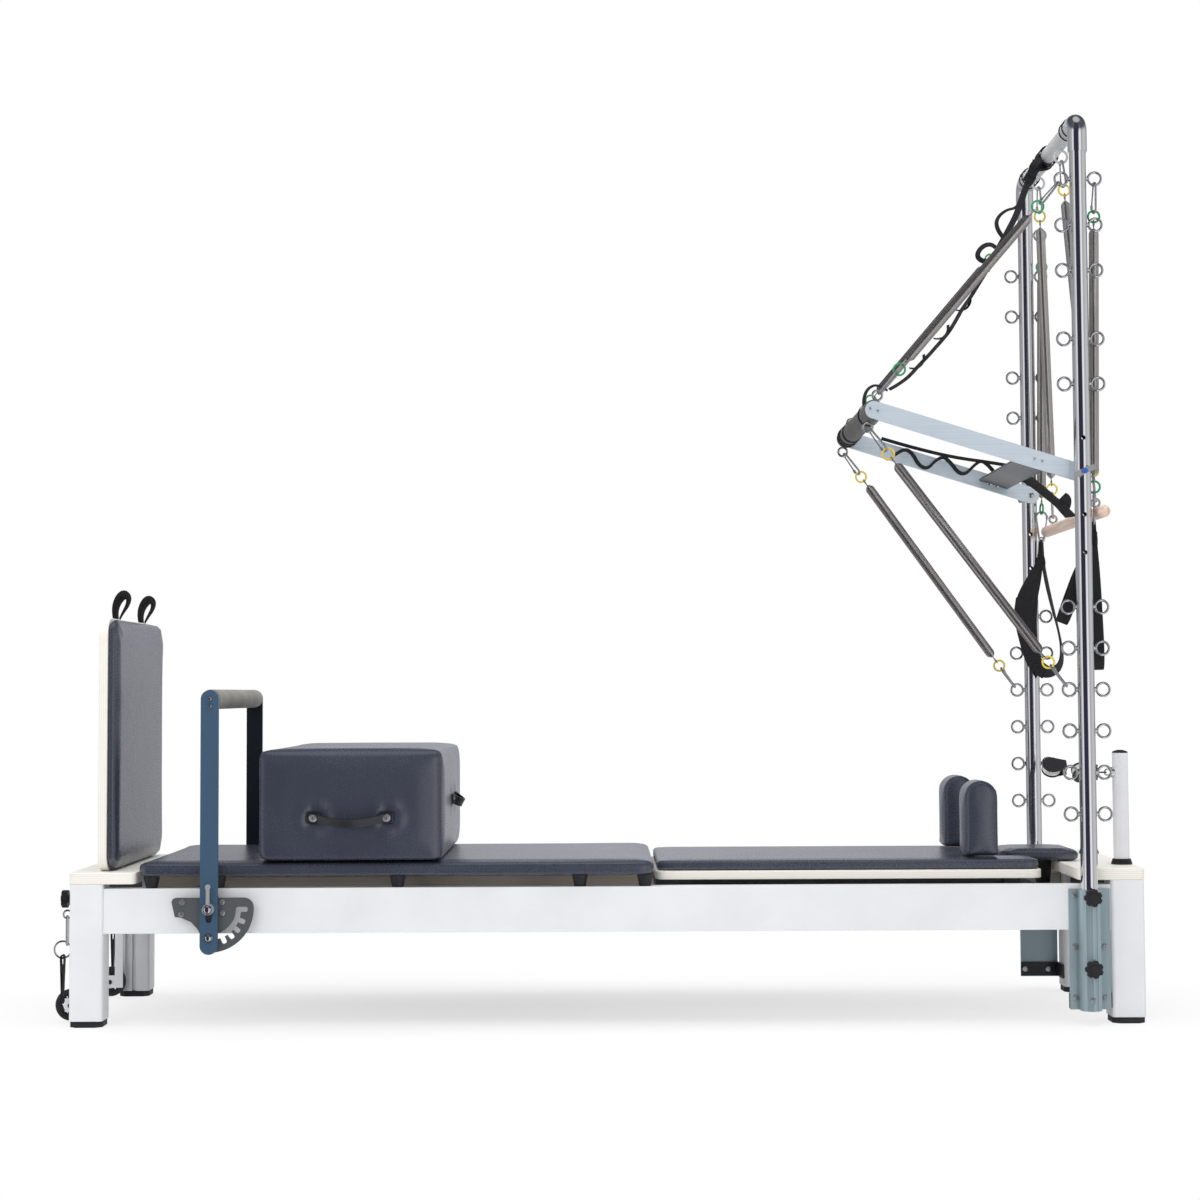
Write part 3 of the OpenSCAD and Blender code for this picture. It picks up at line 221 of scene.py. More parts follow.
class Recipe:
    """One procedural material, built up from expressions."""

    def __init__(self, name):
        self.material = bpy.data.materials.new(name)
        self.material.use_nodes = True
        self.tree = self.material.node_tree
        self.shader = self.tree.nodes["Principled BSDF"]
        self.place = self.node("ShaderNodeTexCoord", {}, {}, "Object")

    def node(self, kind, settings, values, output=0):
        made = self.tree.nodes.new(kind)
        for key, value in settings.items():
            setattr(made, key, value)
        for key, value in values.items():
            self.feed(made.inputs[key], value)
        return Wire(self, made.outputs[output])

    def feed(self, socket, value):
        if isinstance(value, Wire):
            self.tree.links.new(value.socket, socket)
        else:
            socket.default_value = value

    def axis(self, letter):
        return self.node("ShaderNodeSeparateXYZ", {}, {0: self.place}, letter)

    def stretched(self, x, y, z):
        settings = {"operation": "MULTIPLY"}
        return self.node("ShaderNodeVectorMath", settings, {0: self.place, 1: (x, y, z)})

    def noise(self, scale, detail=2.0, where=None, rough=0.5):
        values = {"Vector": where or self.place, "Scale": scale, "Detail": detail, "Roughness": rough}
        return self.node("ShaderNodeTexNoise", {}, values, 0)

    def cells(self, scale):
        values = {"Vector": self.place, "Scale": scale, "Smoothness": 0.4}
        return self.node("ShaderNodeTexVoronoi", {"feature": "SMOOTH_F1"}, values, "Distance")

    def blend(self, amount, first, second):
        made = self.tree.nodes.new("ShaderNodeMix")
        made.data_type = "RGBA"
        self.feed(made.inputs["Factor"], amount)
        for socket, value in zip([s for s in made.inputs if s.type == "RGBA"], (first, second)):
            self.feed(socket, value)
        return Wire(self, [s for s in made.outputs if s.type == "RGBA"][0])

    def relief(self, height, depth, strength=1.0, under=None):
        values = {"Height": height, "Distance": depth, "Strength": strength}
        if under is not None:
            values["Normal"] = under
        return self.node("ShaderNodeBump", {}, values)

    def finish(self, **sockets):
        for name, value in sockets.items():
            self.feed(self.shader.inputs[name.replace("_", " ").title().replace("Ior", "IOR")], value)
        return self.material


def colour(red, green, blue):
    """A colour picked as screen values from 0 to 255, as the linear numbers that shaders use."""
    parts = [v / 255 for v in (red, green, blue)]
    return tuple(v / 12.92 if v <= 0.04045 else ((v + 0.055) / 1.055) ** 2.4 for v in parts) + (1.0,)


def shade(rgba, factor):
    return tuple(min(1.0, v * factor) for v in rgba[:3]) + (1.0,)


print("slate in linear numbers", [round(v, 3) for v in colour(58, 63, 77)])

# %% [markdown]
# ## Upholstery
# The pads wear slate grey synthetic leather. Up close it has a pebbled grain about a
# millimetre wide, slightly uneven gloss, and a colour that wanders by a few percent. Grain
# comes from smooth Voronoi cells, which meet in soft valleys as pressed leather does.

# %% Synthetic leather


def synthetic_leather(name, base, gloss=0.27):
    r = Recipe(name)
    drift = r.noise(5.0, 3.0)
    fine = r.noise(420.0, 2.0)
    grain = r.cells(900.0)
    tone = r.blend(drift.spread(0.3, 0.7), shade(base, 0.9), shade(base, 1.1))
    tone = r.blend(grain.spread(0.35, 0.75) * 0.35, tone, shade(base, 0.72))
    rough = drift * 0.06 + fine * 0.08 + (gloss - 0.07)
    bump = r.relief(grain, 0.00022, 0.55, r.relief(r.noise(38.0, 2.0), 0.0012, 0.25))
    return r.finish(base_color=tone, roughness=rough, normal=bump, specular_ior_level=1.0)


SLATE = synthetic_leather("slate_upholstery", colour(58, 63, 77))
BLACK_LEATHER = synthetic_leather("black_leather", colour(15, 15, 17), 0.42)
print("upholstery ready")

# %% [markdown]
# ## Powder coat and other paints
# Powder coat is a thick satin skin with a faint orange peel, a few tenths of a millimetre
# deep and some millimetres wide. One function makes all the painted metals, because they
# differ only in colour, gloss, how metallic the paint looks, its peel and its streaks.

# %% Painted metal


def powder_coat(name, base, rough=0.36, metal=0.0, peel=0.25, streak=None):
    r = Recipe(name)
    peel_map = r.noise(230.0, 1.5)
    dust = r.noise(7.0, 4.0)
    tone = r.blend(dust.spread(0.25, 0.75), shade(base, 0.955), shade(base, 1.03))
    gloss = dust * 0.08 + (rough - 0.04)
    if streak:
        brushed = r.noise(1.0, 3.0, r.stretched(*streak))
        tone = r.blend(brushed.spread(0.3, 0.7) * 0.5, tone, shade(base, 0.78))
        gloss = gloss + brushed * 0.1
    bump = r.relief(peel_map, 0.0003, peel)
    return r.finish(base_color=tone, roughness=gloss, normal=bump, metallic=metal)


WHITE_COAT = powder_coat("white_powder_coat", colour(230, 231, 234))
SAGE_COAT = powder_coat("sage_powder_coat", colour(160, 179, 185), 0.32, 0.4, 0.2, (900, 900, 4))
DARK_COAT = powder_coat("dark_steel_coat", colour(52, 54, 58), 0.45)
BLACK_COAT = powder_coat("black_steel_coat", colour(34, 36, 40), 0.42)
FOOTBAR_BLUE = powder_coat("footbar_blue_coat", colour(70, 99, 126), 0.34, 0.25, 0.15, (900, 900, 4))
# The foot bar's inner coat is its blue darkened as painted shade, for the arms' inner faces.
FOOTBAR_SHADED_INNER = powder_coat("footbar_inner_painted_shade_coat", colour(30, 38, 46), 0.4, 0.2, 0.15)
PTB_BLUE = powder_coat("push_through_blue_coat", colour(216, 228, 238), 0.28, 0.42, 0.12, (6, 900, 900))
BRACE_GREY = powder_coat("cross_brace_coat", colour(80, 82, 84), 0.36, 0.5, 0.15, (900, 5, 900))
SECTOR_GREY = powder_coat("sector_plate_coat", colour(100, 104, 107), 0.34, 0.35, 0.2)
LEVER_STEEL = powder_coat("polished_lever_steel", colour(206, 206, 203), 0.26, 0.55, 0.1)
TRACK_BRONZE = powder_coat("carriage_track_alloy", colour(204, 194, 180), 0.34, 0.5, 0.1, (3, 900, 900))
print("paints ready")

# %% [markdown]
# ## Bare metals
# Polished tube mirrors the room, so its look depends on what stands round it as much as on
# its own finish. The polish leaves faint lines along the tube, which stretch each highlight.
# They are a noise squeezed thin across the tube and drawn long along it.

# %% Bare metal


def bare_metal(name, base, rough, wear=0.0, lines=None):
    r = Recipe(name)
    cloud = r.noise(24.0, 3.0)
    gloss = cloud * 0.06 + (rough - 0.03)
    tone = r.blend(cloud.spread(0.3, 0.8) * wear, base, shade(base, 0.7))
    bump = r.relief(cloud, 0.0002, 0.05)
    if lines:
        polish = r.noise(1.0, 2.0, r.stretched(*lines))
        gloss = gloss + polish * 0.08
        bump = r.relief(polish, 0.000001, 0.5, bump)
    return r.finish(base_color=tone, roughness=gloss, normal=bump, metallic=1.0)


TUBE_STEEL = bare_metal("polished_tube_steel", colour(232, 231, 229), 0.05, lines=(700, 700, 1.5))
CHROME = bare_metal("bright_chrome", colour(216, 216, 214), 0.09)
ZINC = bare_metal("zinc_plated_steel", colour(206, 207, 208), 0.44, 0.25)
WIRE_STEEL = bare_metal("spring_wire", colour(196, 191, 184), 0.33, 0.25)
print("metals ready")

# %% [markdown]
# ## Rubber, plastic, foam and webbing
# These are all dark or grey and matt, yet no two look alike. Rubber is nearly even, moulded
# plastic has a spark eroded grain, foam sleeve is dull with fine pores, and webbing shows the
# ribs of its weave. Each has its own relief at its own scale.

# %% Matt finishes


def moulded(name, base, rough=0.5, grain=1400.0, depth=0.00008):
    r = Recipe(name)
    spark = r.noise(grain, 2.0)
    patch = r.noise(12.0, 3.0)
    tone = r.blend(patch.spread(0.3, 0.7), shade(base, 0.88), shade(base, 1.12))
    return r.finish(base_color=tone, roughness=patch * 0.1 + (rough - 0.05),
                    normal=r.relief(spark, depth, 0.6))


def woven(name, base, rib=1150.0):
    r = Recipe(name)
    x, y, z = (r.axis(letter) for letter in "XYZ")
    warp = ((x + y) * rib).wave() * ((z + y * 0.4) * rib).wave()
    lift = warp.spread(-1.0, 1.0)
    fuzz = r.noise(900.0, 3.0)
    tone = r.blend(lift, shade(base, 0.6), shade(base, 1.5))
    tone = r.blend(fuzz.spread(0.55, 0.8) * 0.5, tone, shade(base, 2.2))
    return r.finish(base_color=tone, roughness=fuzz * 0.1 + 0.68, normal=r.relief(lift, 0.0003, 0.7))


RUBBER = moulded("black_rubber", colour(38, 38, 40), 0.6, 700.0)
BLACK_PLASTIC = moulded("black_plastic", colour(30, 30, 32), 0.42)
WHITE_NYLON = moulded("white_nylon", colour(226, 226, 222), 0.4)
GREY_SLEEVE = moulded("grey_crossbar_sleeve", colour(186, 187, 188), 0.48, 900.0)
FOAM = moulded("grip_foam", colour(142, 139, 134), 0.72, 520.0, 0.0003)
DARK_FOAM = moulded("dark_grip_foam", colour(92, 90, 88), 0.66, 520.0, 0.0003)
GREEN_RING = moulded("green_dipped_ring", colour(40, 150, 95), 0.34)
YELLOW_RING = moulded("yellow_dipped_ring", colour(222, 196, 66), 0.34)
BLUE_BUTTON = moulded("blue_button", colour(40, 95, 190), 0.35)
WEBBING = woven("black_webbing", colour(30, 30, 32))
DARK_THREAD = woven("dark_thread", colour(70, 70, 74), 2600.0)
print("matt finishes ready")

# %% [markdown]
# ## Wood
# The end boards, the carriage and the jump board are plywood under a cream lacquer. On a cut
# edge the veneers show as thin darker lines, so the material looks at which way the surface
# faces: where it faces along the sheet it draws the layers. The roll-down bar is turned maple,
# whose grain is a noise drawn out along the bar.

# %% Lacquered plywood and maple


def plywood(name, thickness_axis, veneer):
    r = Recipe(name)
    facing = r.node("ShaderNodeTexCoord", {}, {}, "Normal")
    towards = r.node("ShaderNodeSeparateXYZ", {}, {0: facing}, thickness_axis).size()
    edge = 1 - towards.spread(0.35, 0.7)
    grain = r.noise(1.0, 4.0, r.stretched(4, 90, 90))
    layer = ((r.axis(thickness_axis) / veneer).part() - 0.5).size().spread(0.28, 0.42)
    cream = colour(243, 240, 233)
    face = r.blend(grain.spread(0.35, 0.7) * 0.35, cream, shade(cream, 0.93))
    tone = r.blend(edge * layer * 0.35, face, colour(218, 206, 184))
    rough = 0.4 + edge * 0.12
    return r.finish(base_color=tone, roughness=rough, normal=r.relief(grain, 0.0002, 0.2))


def maple(name):
    r = Recipe(name)
    grain = r.noise(1.0, 5.0, r.stretched(160, 5, 160), 0.6)
    tone = r.blend(grain.spread(0.3, 0.75), colour(232, 212, 196), colour(206, 172, 150))
    return r.finish(base_color=tone, roughness=0.42 + grain * 0.08, normal=r.relief(grain, 0.0002, 0.25))


BOARD_PLY = plywood("cream_board_ply", "Z", 0.0044)
JUMP_PLY = plywood("cream_jump_ply", "X", 0.0044)
MAPLE = maple("turned_maple")
print("wood ready")

# %% [markdown]
# ## Dressing the rigid parts
# A rigid part already has its true shape, but its edges are perfectly sharp, which no real
# part is: paint and polish round every edge by half a millimetre or more, and that thin
# highlight is what the eye reads as solid metal. So a part with visible edges is copied, its
# doubled corners are welded, and a bevel rounds its edges. The copy then stands for the
# original. Parts that are round already only take their material.

# %% Edge rounding
BODY_OF = {member: body for body, members in frame["record"]["behaviour"]["bodies"].items() for member in members}


def link_piece(piece, body, material, node=None):
    """Put a piece in the scene with its finishes, on its body and in place of a node."""
    if piece.name not in bpy.context.scene.collection.objects:
        bpy.context.scene.collection.objects.link(piece)
    piece.data.materials.clear()
    for one in material if isinstance(material, list) else [material]:
        piece.data.materials.append(one)
    if body:
        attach(piece, body)
    if node:
        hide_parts(node)


def smooth(mesh, degrees):
    for polygon in mesh.polygons:
        polygon.use_smooth = True
    mesh.set_sharp_from_angle(angle=math.radians(degrees))


def settled(piece):
    """The piece as its modifiers leave it."""
    bpy.context.view_layer.update()
    return piece.evaluated_get(bpy.context.evaluated_depsgraph_get())


def apply_modifiers(piece):
    mesh = bpy.data.meshes.new_from_object(settled(piece))
    piece.modifiers.clear()
    piece.data = mesh


def rounded(node, material, width, segments=2):
    """A copy of a rigid node with its edges rounded, which stands for it."""
    copy = bpy.data.objects.new(node + "_dressed", frame["nodes"][node].data.copy())
    copy.data.transform(frame["nodes"][node].matrix_world)
    bpy.context.scene.collection.objects.link(copy)
    work = bmesh.new()
    work.from_mesh(copy.data)
    bmesh.ops.remove_doubles(work, verts=work.verts, dist=0.00002)
    bmesh.ops.dissolve_limit(work, angle_limit=math.radians(1.0), verts=work.verts, edges=work.edges)
    work.to_mesh(copy.data)
    work.free()
    bevel = copy.modifiers.new("edges", "BEVEL")
    bevel.width, bevel.segments = mm(width), segments
    bevel.limit_method, bevel.angle_limit = "ANGLE", math.radians(30.0)
    bevel.use_clamp_overlap = True
    smooth(copy.data, 180.0)
    weigh = copy.modifiers.new("flat faces", "WEIGHTED_NORMAL")
    weigh.mode, weigh.weight = "FACE_AREA", 100
    apply_modifiers(copy)
    link_piece(copy, BODY_OF[node], material, node)
    return copy


def painted(node, materials, width, rule):
    """A part in several finishes: rule gives a finish's number from a face's middle and normal."""
    for polygon in rounded(node, materials, width).data.polygons:
        polygon.material_index = rule(drawn(polygon.center), polygon.normal)


print("helpers for rigid parts ready")

# %% [markdown]
# ## The white frame
# Legs and rails are extruded aluminium under white powder coat. Their long edges are drawn
# with a radius of about a millimetre and a half, a little more than the plates have.

# %% Frame pieces
rounded("side_rails", WHITE_COAT, 1.6, 3)
rounded("corner_legs", WHITE_COAT, 0.8)
rounded("wheel_brackets", WHITE_COAT, 0.7)
rounded("pulley_posts", WHITE_COAT, 0.8)
rounded("leg_feet", RUBBER, 1.5)
rounded("end_boards", BOARD_PLY, 2.5, 3)
rounded("cross_beams", DARK_COAT, 1.5)
rounded("carriage_tracks", TRACK_BRONZE, 0.8)
rounded("tower_sockets", SAGE_COAT, 0.9)
rounded("socket_braces", BLACK_COAT, 0.8)
rounded("sector_plates", SECTOR_GREY, 0.5)
# The foot bar arms' inner faces take a darker coat as painted shade; the outer bolt ends are chrome.
painted("footbar_arms", [FOOTBAR_BLUE, CHROME, FOOTBAR_SHADED_INNER], 0.9,
        lambda p, n: 1 if abs(p.y) > 362.3 else 2 if abs(p.y) < 352.4 and p.y * n.y < 0 else 0)
painted("ptb_arms", [PTB_BLUE, CHROME, ZINC, BLUE_BUTTON], 0.9,
        lambda p, n: 3 if abs(p.y) > 374.3 else 2 if abs(p.y) > 364 else 1 if abs(p.y) > 323.3 else 0)
rounded("ptb_brace", BRACE_GREY, 1.0)
rounded("jump_panel", JUMP_PLY, 2.0, 3)
rounded("carriage_board", BOARD_PLY, 2.0, 3)
rounded("carriage_chassis", BLACK_COAT, 1.0)
rounded("headrest_hinge", BLACK_PLASTIC, 1.0)
rounded("lever_near", LEVER_STEEL, 0.8)
rounded("lever_far", LEVER_STEEL, 0.8)
for knob in ("jump_knob", "knob_near_top", "knob_near_low", "knob_far_top", "knob_far_low"):
    rounded(knob, BLACK_PLASTIC, 0.9)
for wheel in ("wheel_near", "wheel_far"):
    rounded(wheel, RUBBER, 0.8)
for case in ("pulley_near", "pulley_far"):
    rounded(case, BLACK_PLASTIC, 0.6)
painted("rolldown_bar", [MAPLE, CHROME], 0.8, lambda p, n: 1 if p.z > 1165 else 0)
painted("ptb_grip", [DARK_FOAM, CHROME], 0.8,
        lambda p, n: 1 if math.hypot(p.x - PTB_END[0], p.z - PTB_END[1]) > 25.5 else 0)
print("parts with edges dressed")

# %% [markdown]
# Tubes, bolts, eyes and wheels keep the exact mesh that the frame brought.

# %% Round parts
DRESSED = [
    (WIRE_STEEL, ["reformer_springs"]), (ZINC, ["frame_bolts"]), (TUBE_STEEL, ["tower_uprights", "tower_elbows"]),
    (CHROME, ["pivot_bolts", "tower_eyebolts", "post_eyes", "tether_hardware"]),
    (GREY_SLEEVE, ["tower_crossbar"]), (BLACK_PLASTIC, ["post_trim"]), (RUBBER, ["rubber_supports"]),
    (WHITE_NYLON, ["wheelset_foot", "wheelset_head", "sheave_near", "sheave_far"]), (FOAM, ["footbar_grip"])]
for finish, nodes in DRESSED:
    for node in nodes:
        frame["nodes"][node].data.materials.clear()
        frame["nodes"][node].data.materials.append(finish)
print(sum(len(nodes) for _, nodes in DRESSED), "round parts dressed")

# %% [markdown]
# ## Wires, welts and ribbons
# Welts, springs, rings, snap hooks and straps all follow a path. `tube` sweeps a round section
# along points, and `ribbon` sweeps a flat one, whose width direction is given at every point,
# because a strap twists. Both hand their rings of points to `loft`, which skins them. Bits are
# gathered in `Bits` until they are one mesh, so that one piece can hold several finishes.

# %% Sweeps


def loft(rings, closed=False):
    """The points and faces of a skin over rings that have the same number of points."""
    count, sides = len(rings), len(rings[0])
    faces = []
    for i in range(count if closed else count - 1):
        low, high = i * sides, (i + 1) % count * sides
        faces += [(low + k, low + (k + 1) % sides, high + (k + 1) % sides, high + k) for k in range(sides)]
    if not closed:
        faces.append(tuple(reversed(range(sides))))
        faces.append(tuple(range((count - 1) * sides, count * sides)))
    return [point for ring in rings for point in ring], faces


def headings(path, closed=False):
    """Each point of a path with the direction in which the path runs there."""
    count = len(path)
    for i, spot in enumerate(path):
        ahead = path[(i + 1) % count] if closed or i < count - 1 else spot
        behind = path[i - 1] if closed or i else spot
        yield spot, (ahead - behind).normalized()


def tube(path, radius, sides=8, closed=False):
    """A round sweep. The radius is in millimetres, one for all points or one for each."""
    rings, normal = [], None
    for i, (spot, along) in enumerate(headings(path, closed)):
        normal = normal or along.orthogonal()
        normal = (normal - along * normal.dot(along)).normalized()
        side = along.cross(normal)
        r = mm(radius[i] if isinstance(radius, (list, tuple)) else radius)
        rings.append([spot + r * (math.cos(t) * normal + math.sin(t) * side)
                      for t in (math.tau * k / sides for k in range(sides))])
    return loft(rings, closed)


def ribbon(path, widths, thickness):
    """A flat strap: widths gives, for all points or for each, the half width as a vector."""
    rings = []
    for i, (spot, along) in enumerate(headings(path)):
        half = widths[i] if isinstance(widths, list) else widths
        face = along.cross(half.normalized()).normalized() * mm(thickness) / 2
        edge = half * 0.94
        rings.append([spot + half, spot + edge + face, spot - edge + face,
                      spot - half, spot - edge - face, spot + edge - face])
    return loft(rings)


class Bits:
    """Loose sweeps of one piece, gathered before they become a mesh."""

    def __init__(self):
        self.points, self.faces, self.finish = [], [], []

    def add(self, sweep, finish=0):
        base = len(self.points)
        self.points += [tuple(p) for p in sweep[0]]
        self.faces += [tuple(base + i for i in face) for face in sweep[1]]
        self.finish += [finish] * len(sweep[1])
        return self

    def piece(self, name, body, materials, slot, degrees=50.0, node=None):
        mesh = bpy.data.meshes.new(name)
        mesh.from_pydata(self.points, [], self.faces)
        made = bpy.data.objects.new(name, mesh)
        link_piece(made, body, materials, node)
        mesh.polygons.foreach_set("material_index", self.finish)
        work = bmesh.new()
        work.from_mesh(mesh)
        bmesh.ops.recalc_face_normals(work, faces=work.faces)
        work.to_mesh(mesh)
        work.free()
        smooth(mesh, degrees)
        return made


print("sweeps ready")

# %% [markdown]
# ## How a pad is made
# A studio pad is foam on a board, wrapped in synthetic leather. Its edges are round, its sides
# belly out, and every seam pulls the cover down. A smooth box can't show that, so each pad
# starts as a slightly small closed shell, is remeshed into even squares, and is then blown up by
# a cloth simulation with air inside. The seam lines and the flat foot are pinned, so the cover
# swells between them as it does over foam. How far a point may move is capped.

# %% Shells
def rounded_outline(half_a, half_b, radius, steps=6, centre=(0.0, 0.0)):
    """Corner points of a rounded rectangle, anticlockwise, in millimetres."""
    points = []
    for corner, (sa, sb) in enumerate(((1, 1), (-1, 1), (-1, -1), (1, -1))):
        for step in range(steps + 1):
            t = math.radians(corner * 90 + 90 * step / steps)
            points.append((centre[0] + sa * (half_a - radius) + radius * math.cos(t),
                           centre[1] + sb * (half_b - radius) + radius * math.sin(t)))
    return points


def drawn_in(outline, depth):
    """The outline moved inwards by depth along its own normals."""
    moved, count = [], len(outline)
    for i, (a, b) in enumerate(outline):
        before, after = outline[i - 1], outline[(i + 1) % count]
        along = Vector((after[0] - before[0], after[1] - before[1])).normalized()
        moved.append((a - along.y * depth, b + along.x * depth))
    return moved


def standing(x):
    """A matrix that lays an outline across the bed, so that its heights run along it from x."""
    return Matrix(((0, 0, 1, mm(x + SHIFT)), (1, 0, 0, 0), (0, 1, 0, 0), (0, 0, 0, 1)))


def shell(name, outline, levels, place):
    """A closed skin: the outline at each (height, inset), joined, then put in place by a matrix."""
    mesh = bpy.data.meshes.new(name)
    points, faces = loft([[(mm(a), mm(b), mm(height)) for a, b in drawn_in(outline, inset)]
                          for height, inset in levels])
    mesh.from_pydata(points, [], faces)
    work = bmesh.new()
    work.from_mesh(mesh)
    bmesh.ops.triangulate(work, faces=[f for f in work.faces if len(f.verts) > 4])
    work.transform(place)
    if place.determinant() < 0:
        bmesh.ops.reverse_faces(work, faces=work.faces)
    work.to_mesh(mesh)
    work.free()
    piece = bpy.data.objects.new(name, mesh)
    bpy.context.scene.collection.objects.link(piece)
    return piece


# %% [markdown]
# The roll of a pad's edge is a quarter of an ellipse at the foot and another at the top. The
# list of heights and insets describes it once for every pad that lies on a board. A block with
# two equal faces uses one list forwards and backwards.

# %% Edge roll
def rolled(height, foot, top, steps=5):
    quarter = [math.radians(90 * step / steps) for step in range(steps + 1)]
    levels = [(foot * (1 - math.cos(t)), foot * (1 - math.sin(t)) * 0.8) for t in quarter]
    levels.append((height / 2, 0.0))
    return levels + [(height - top + top * math.sin(t), top * (1 - math.cos(t))) for t in quarter]


def two_faced(levels, depth):
    return levels + [(depth / 2, 0.0)] + [(depth - height, inset) for height, inset in reversed(levels)]


COVER_FRAMES = 14
COVER_CLOTH = {"quality": 3, "mass": 0.3, "tension_stiffness": 25, "compression_stiffness": 25,
               "bending_stiffness": 2.0, "use_pressure": True, "vertex_group_mass": "held"}


def pump_up(piece, voxel, pressure, cap, pinned):
    """Remesh, inflate as cloth, limit the swelling and smooth the result."""
    remesh = piece.modifiers.new("squares", "REMESH")
    remesh.mode, remesh.voxel_size = "VOXEL", mm(voxel)
    apply_modifiers(piece)
    start = [v.co.copy() for v in piece.data.vertices]
    held = piece.vertex_groups.new(name="held")
    held.add([i for i, co in enumerate(start) if pinned(drawn(co))], 1.0, "REPLACE")
    cloth = piece.modifiers.new("cover", "CLOTH")
    for key, value in COVER_CLOTH.items():
        setattr(cloth.settings, key, value)
    cloth.settings.uniform_pressure_force = pressure
    cloth.settings.effector_weights.gravity = 0
    cloth.collision_settings.use_collision = False
    cloth.point_cache.frame_end = COVER_FRAMES
    for step in range(1, COVER_FRAMES + 1):
        bpy.context.scene.frame_set(step)
    swollen = settled(piece).data
    for vertex, target, origin in zip(piece.data.vertices, swollen.vertices, start):
        move = target.co - origin
        if move.length > mm(cap):
            move = move.normalized() * mm(cap)
        vertex.co = origin + move
    piece.modifiers.remove(cloth)
    bpy.context.scene.frame_set(1)
    relax = piece.modifiers.new("relax", "SMOOTH")
    relax.iterations, relax.factor = 3, 0.4
    apply_modifiers(piece)


def upholster(piece, body, node):
    smooth(piece.data, 60)
    link_piece(piece, body, SLATE, node)


print("pad helpers ready")

# %% [markdown]
# ## Welts on a pad
# A welt is a thin cord in the same leather, sewn between two panels. It must lie exactly on the
# swollen cover, so its planned line is cut into short steps, each point is moved to the nearest
# point of the finished pad, a little sunk in, and the cord is swept through them.

# %% Welts
def spaced(path, step, closed):
    """Points every step along a path."""
    ends = path + path[:1] if closed else path
    spots, left = [], 0.0
    for a, b in zip(ends, ends[1:]):
        length = (b - a).length
        while left < length:
            spots.append(a + (b - a) * (left / length))
            left += step
        left -= length
    return spots


def welt(pad, name, body, path, step, radius, closed=True, sink=0.3):
    tree = BVHTree.FromObject(pad, bpy.context.evaluated_depsgraph_get())
    line = []
    for spot in spaced(path, mm(step), closed):
        place, facing, _, _ = tree.find_nearest(spot)
        line.append(place - facing * mm(sink))
    if closed:
        line = [(line[i - 1] + line[i] * 2 + line[(i + 1) % len(line)]) / 4 for i in range(len(line))]
    Bits().add(tube(line, radius, 6, closed)).piece(name, body, SLATE, "slate_upholstery", 60)


print("welts ready")

# %% [markdown]
# ## Pads on a board
# The mat, the carriage pad, the headrest and the jump board's pad are made alike: a rolled edge,
# a pinned foot, and one pinned seam where the top panel meets the side band. One function holds
# that, and its numbers are heights above the foot or, where they are negative, below the top.

# %% Flat pads
Z_AXIS, X_AXIS = 2, 0


def flat_pad(name, node, body, outline, welts, axis=Z_AXIS, inset=2.2, roll=(2.2, 3.5, 6.5),
             air=(9.0, 4.0, 3.0), foot=2.5, seam=(-8.2, 4.6), cord=(7, 1.1)):
    low, high = (corner[axis] for corner in node_box(node))
    seam_level = seam[0] + (low if seam[0] > 0 else high)
    place = Matrix.Translation(at(0, 0, low)) if axis == Z_AXIS else standing(low)
    pad = shell(name, drawn_in(outline, inset), rolled(high - low - roll[0], *roll[1:]), place)
    # The foot keeps flat on its board, and the seam keeps its line.
    pump_up(pad, *air, lambda p: p[axis] < low + foot or abs(p[axis] - seam_level) < seam[1])
    upholster(pad, body, node)
    for tag, height in welts:
        level = height + (low if height > 0 else high)
        path = [at(a, b, level) if axis == Z_AXIS else at(level, a, b) for a, b in outline]
        welt(pad, tag + "_welt", body, path, *cord)
    print(name, "stands", round(high - low), "mm thick")


low, high = node_box("mat_pad")
MAT_TOP = high[2]
outline = rounded_outline((high[0] - low[0]) / 2, (high[1] - low[1]) / 2, 26, centre=(middle(low, high, 0), 0))
flat_pad("mat", "mat_pad", "frame", outline, [("mat_upper", -7.5), ("mat_lower", 6.5)])

# %% [markdown]
# The carriage pad follows its board. Its bay for the headrest is open towards the tower, and
# its inner corners are rounded, because a knife can't cut a sharp inner corner in foam. The
# outline is listed one rounded corner after another.

# %% Carriage pad
NOTCH_DEPTH, NOTCH_HALF = 84.0, 116.0
CORNER, LIP, INNER = 26, 12, 10
low, high = node_box("carriage_pad")
x0, x1, side, notch = low[0], high[0], high[1], high[0] - NOTCH_DEPTH
CARRIAGE_TOP = high[2]


def corner(x, y, radius, start, sweep=90, steps=5):
    turns = [math.radians(start + sweep * i / steps) for i in range(steps + 1)]
    return [(x + radius * math.cos(t), y + radius * math.sin(t)) for t in turns]


outline = (
    corner(x1 - LIP, NOTCH_HALF + LIP, LIP, 270) + corner(x1 - CORNER, side - CORNER, CORNER, 0)
    + corner(x0 + CORNER, side - CORNER, CORNER, 90) + corner(x0 + CORNER, CORNER - side, CORNER, 180)
    + corner(x1 - CORNER, CORNER - side, CORNER, 270) + corner(x1 - LIP, -NOTCH_HALF - LIP, LIP, 0)
    + corner(notch + INNER, -NOTCH_HALF + INNER, INNER, 270, -90)
    + corner(notch + INNER, NOTCH_HALF - INNER, INNER, 180, -90))
flat_pad("carriage_cushion", "carriage_pad", "carriage", outline,
         [("carriage_cushion_upper", -7.5), ("carriage_cushion_lower", 6.5)], air=(9.0, 4.0, 2.0))

# %% [markdown]
# The headrest is a small thick pad, rounder than the others. It is blown up more, so its top
# crowns clearly. The jump board's pad stands upright, so its heights run along the bed. Its
# front is nearly flat, and its welts lie close to the face and to the plywood.

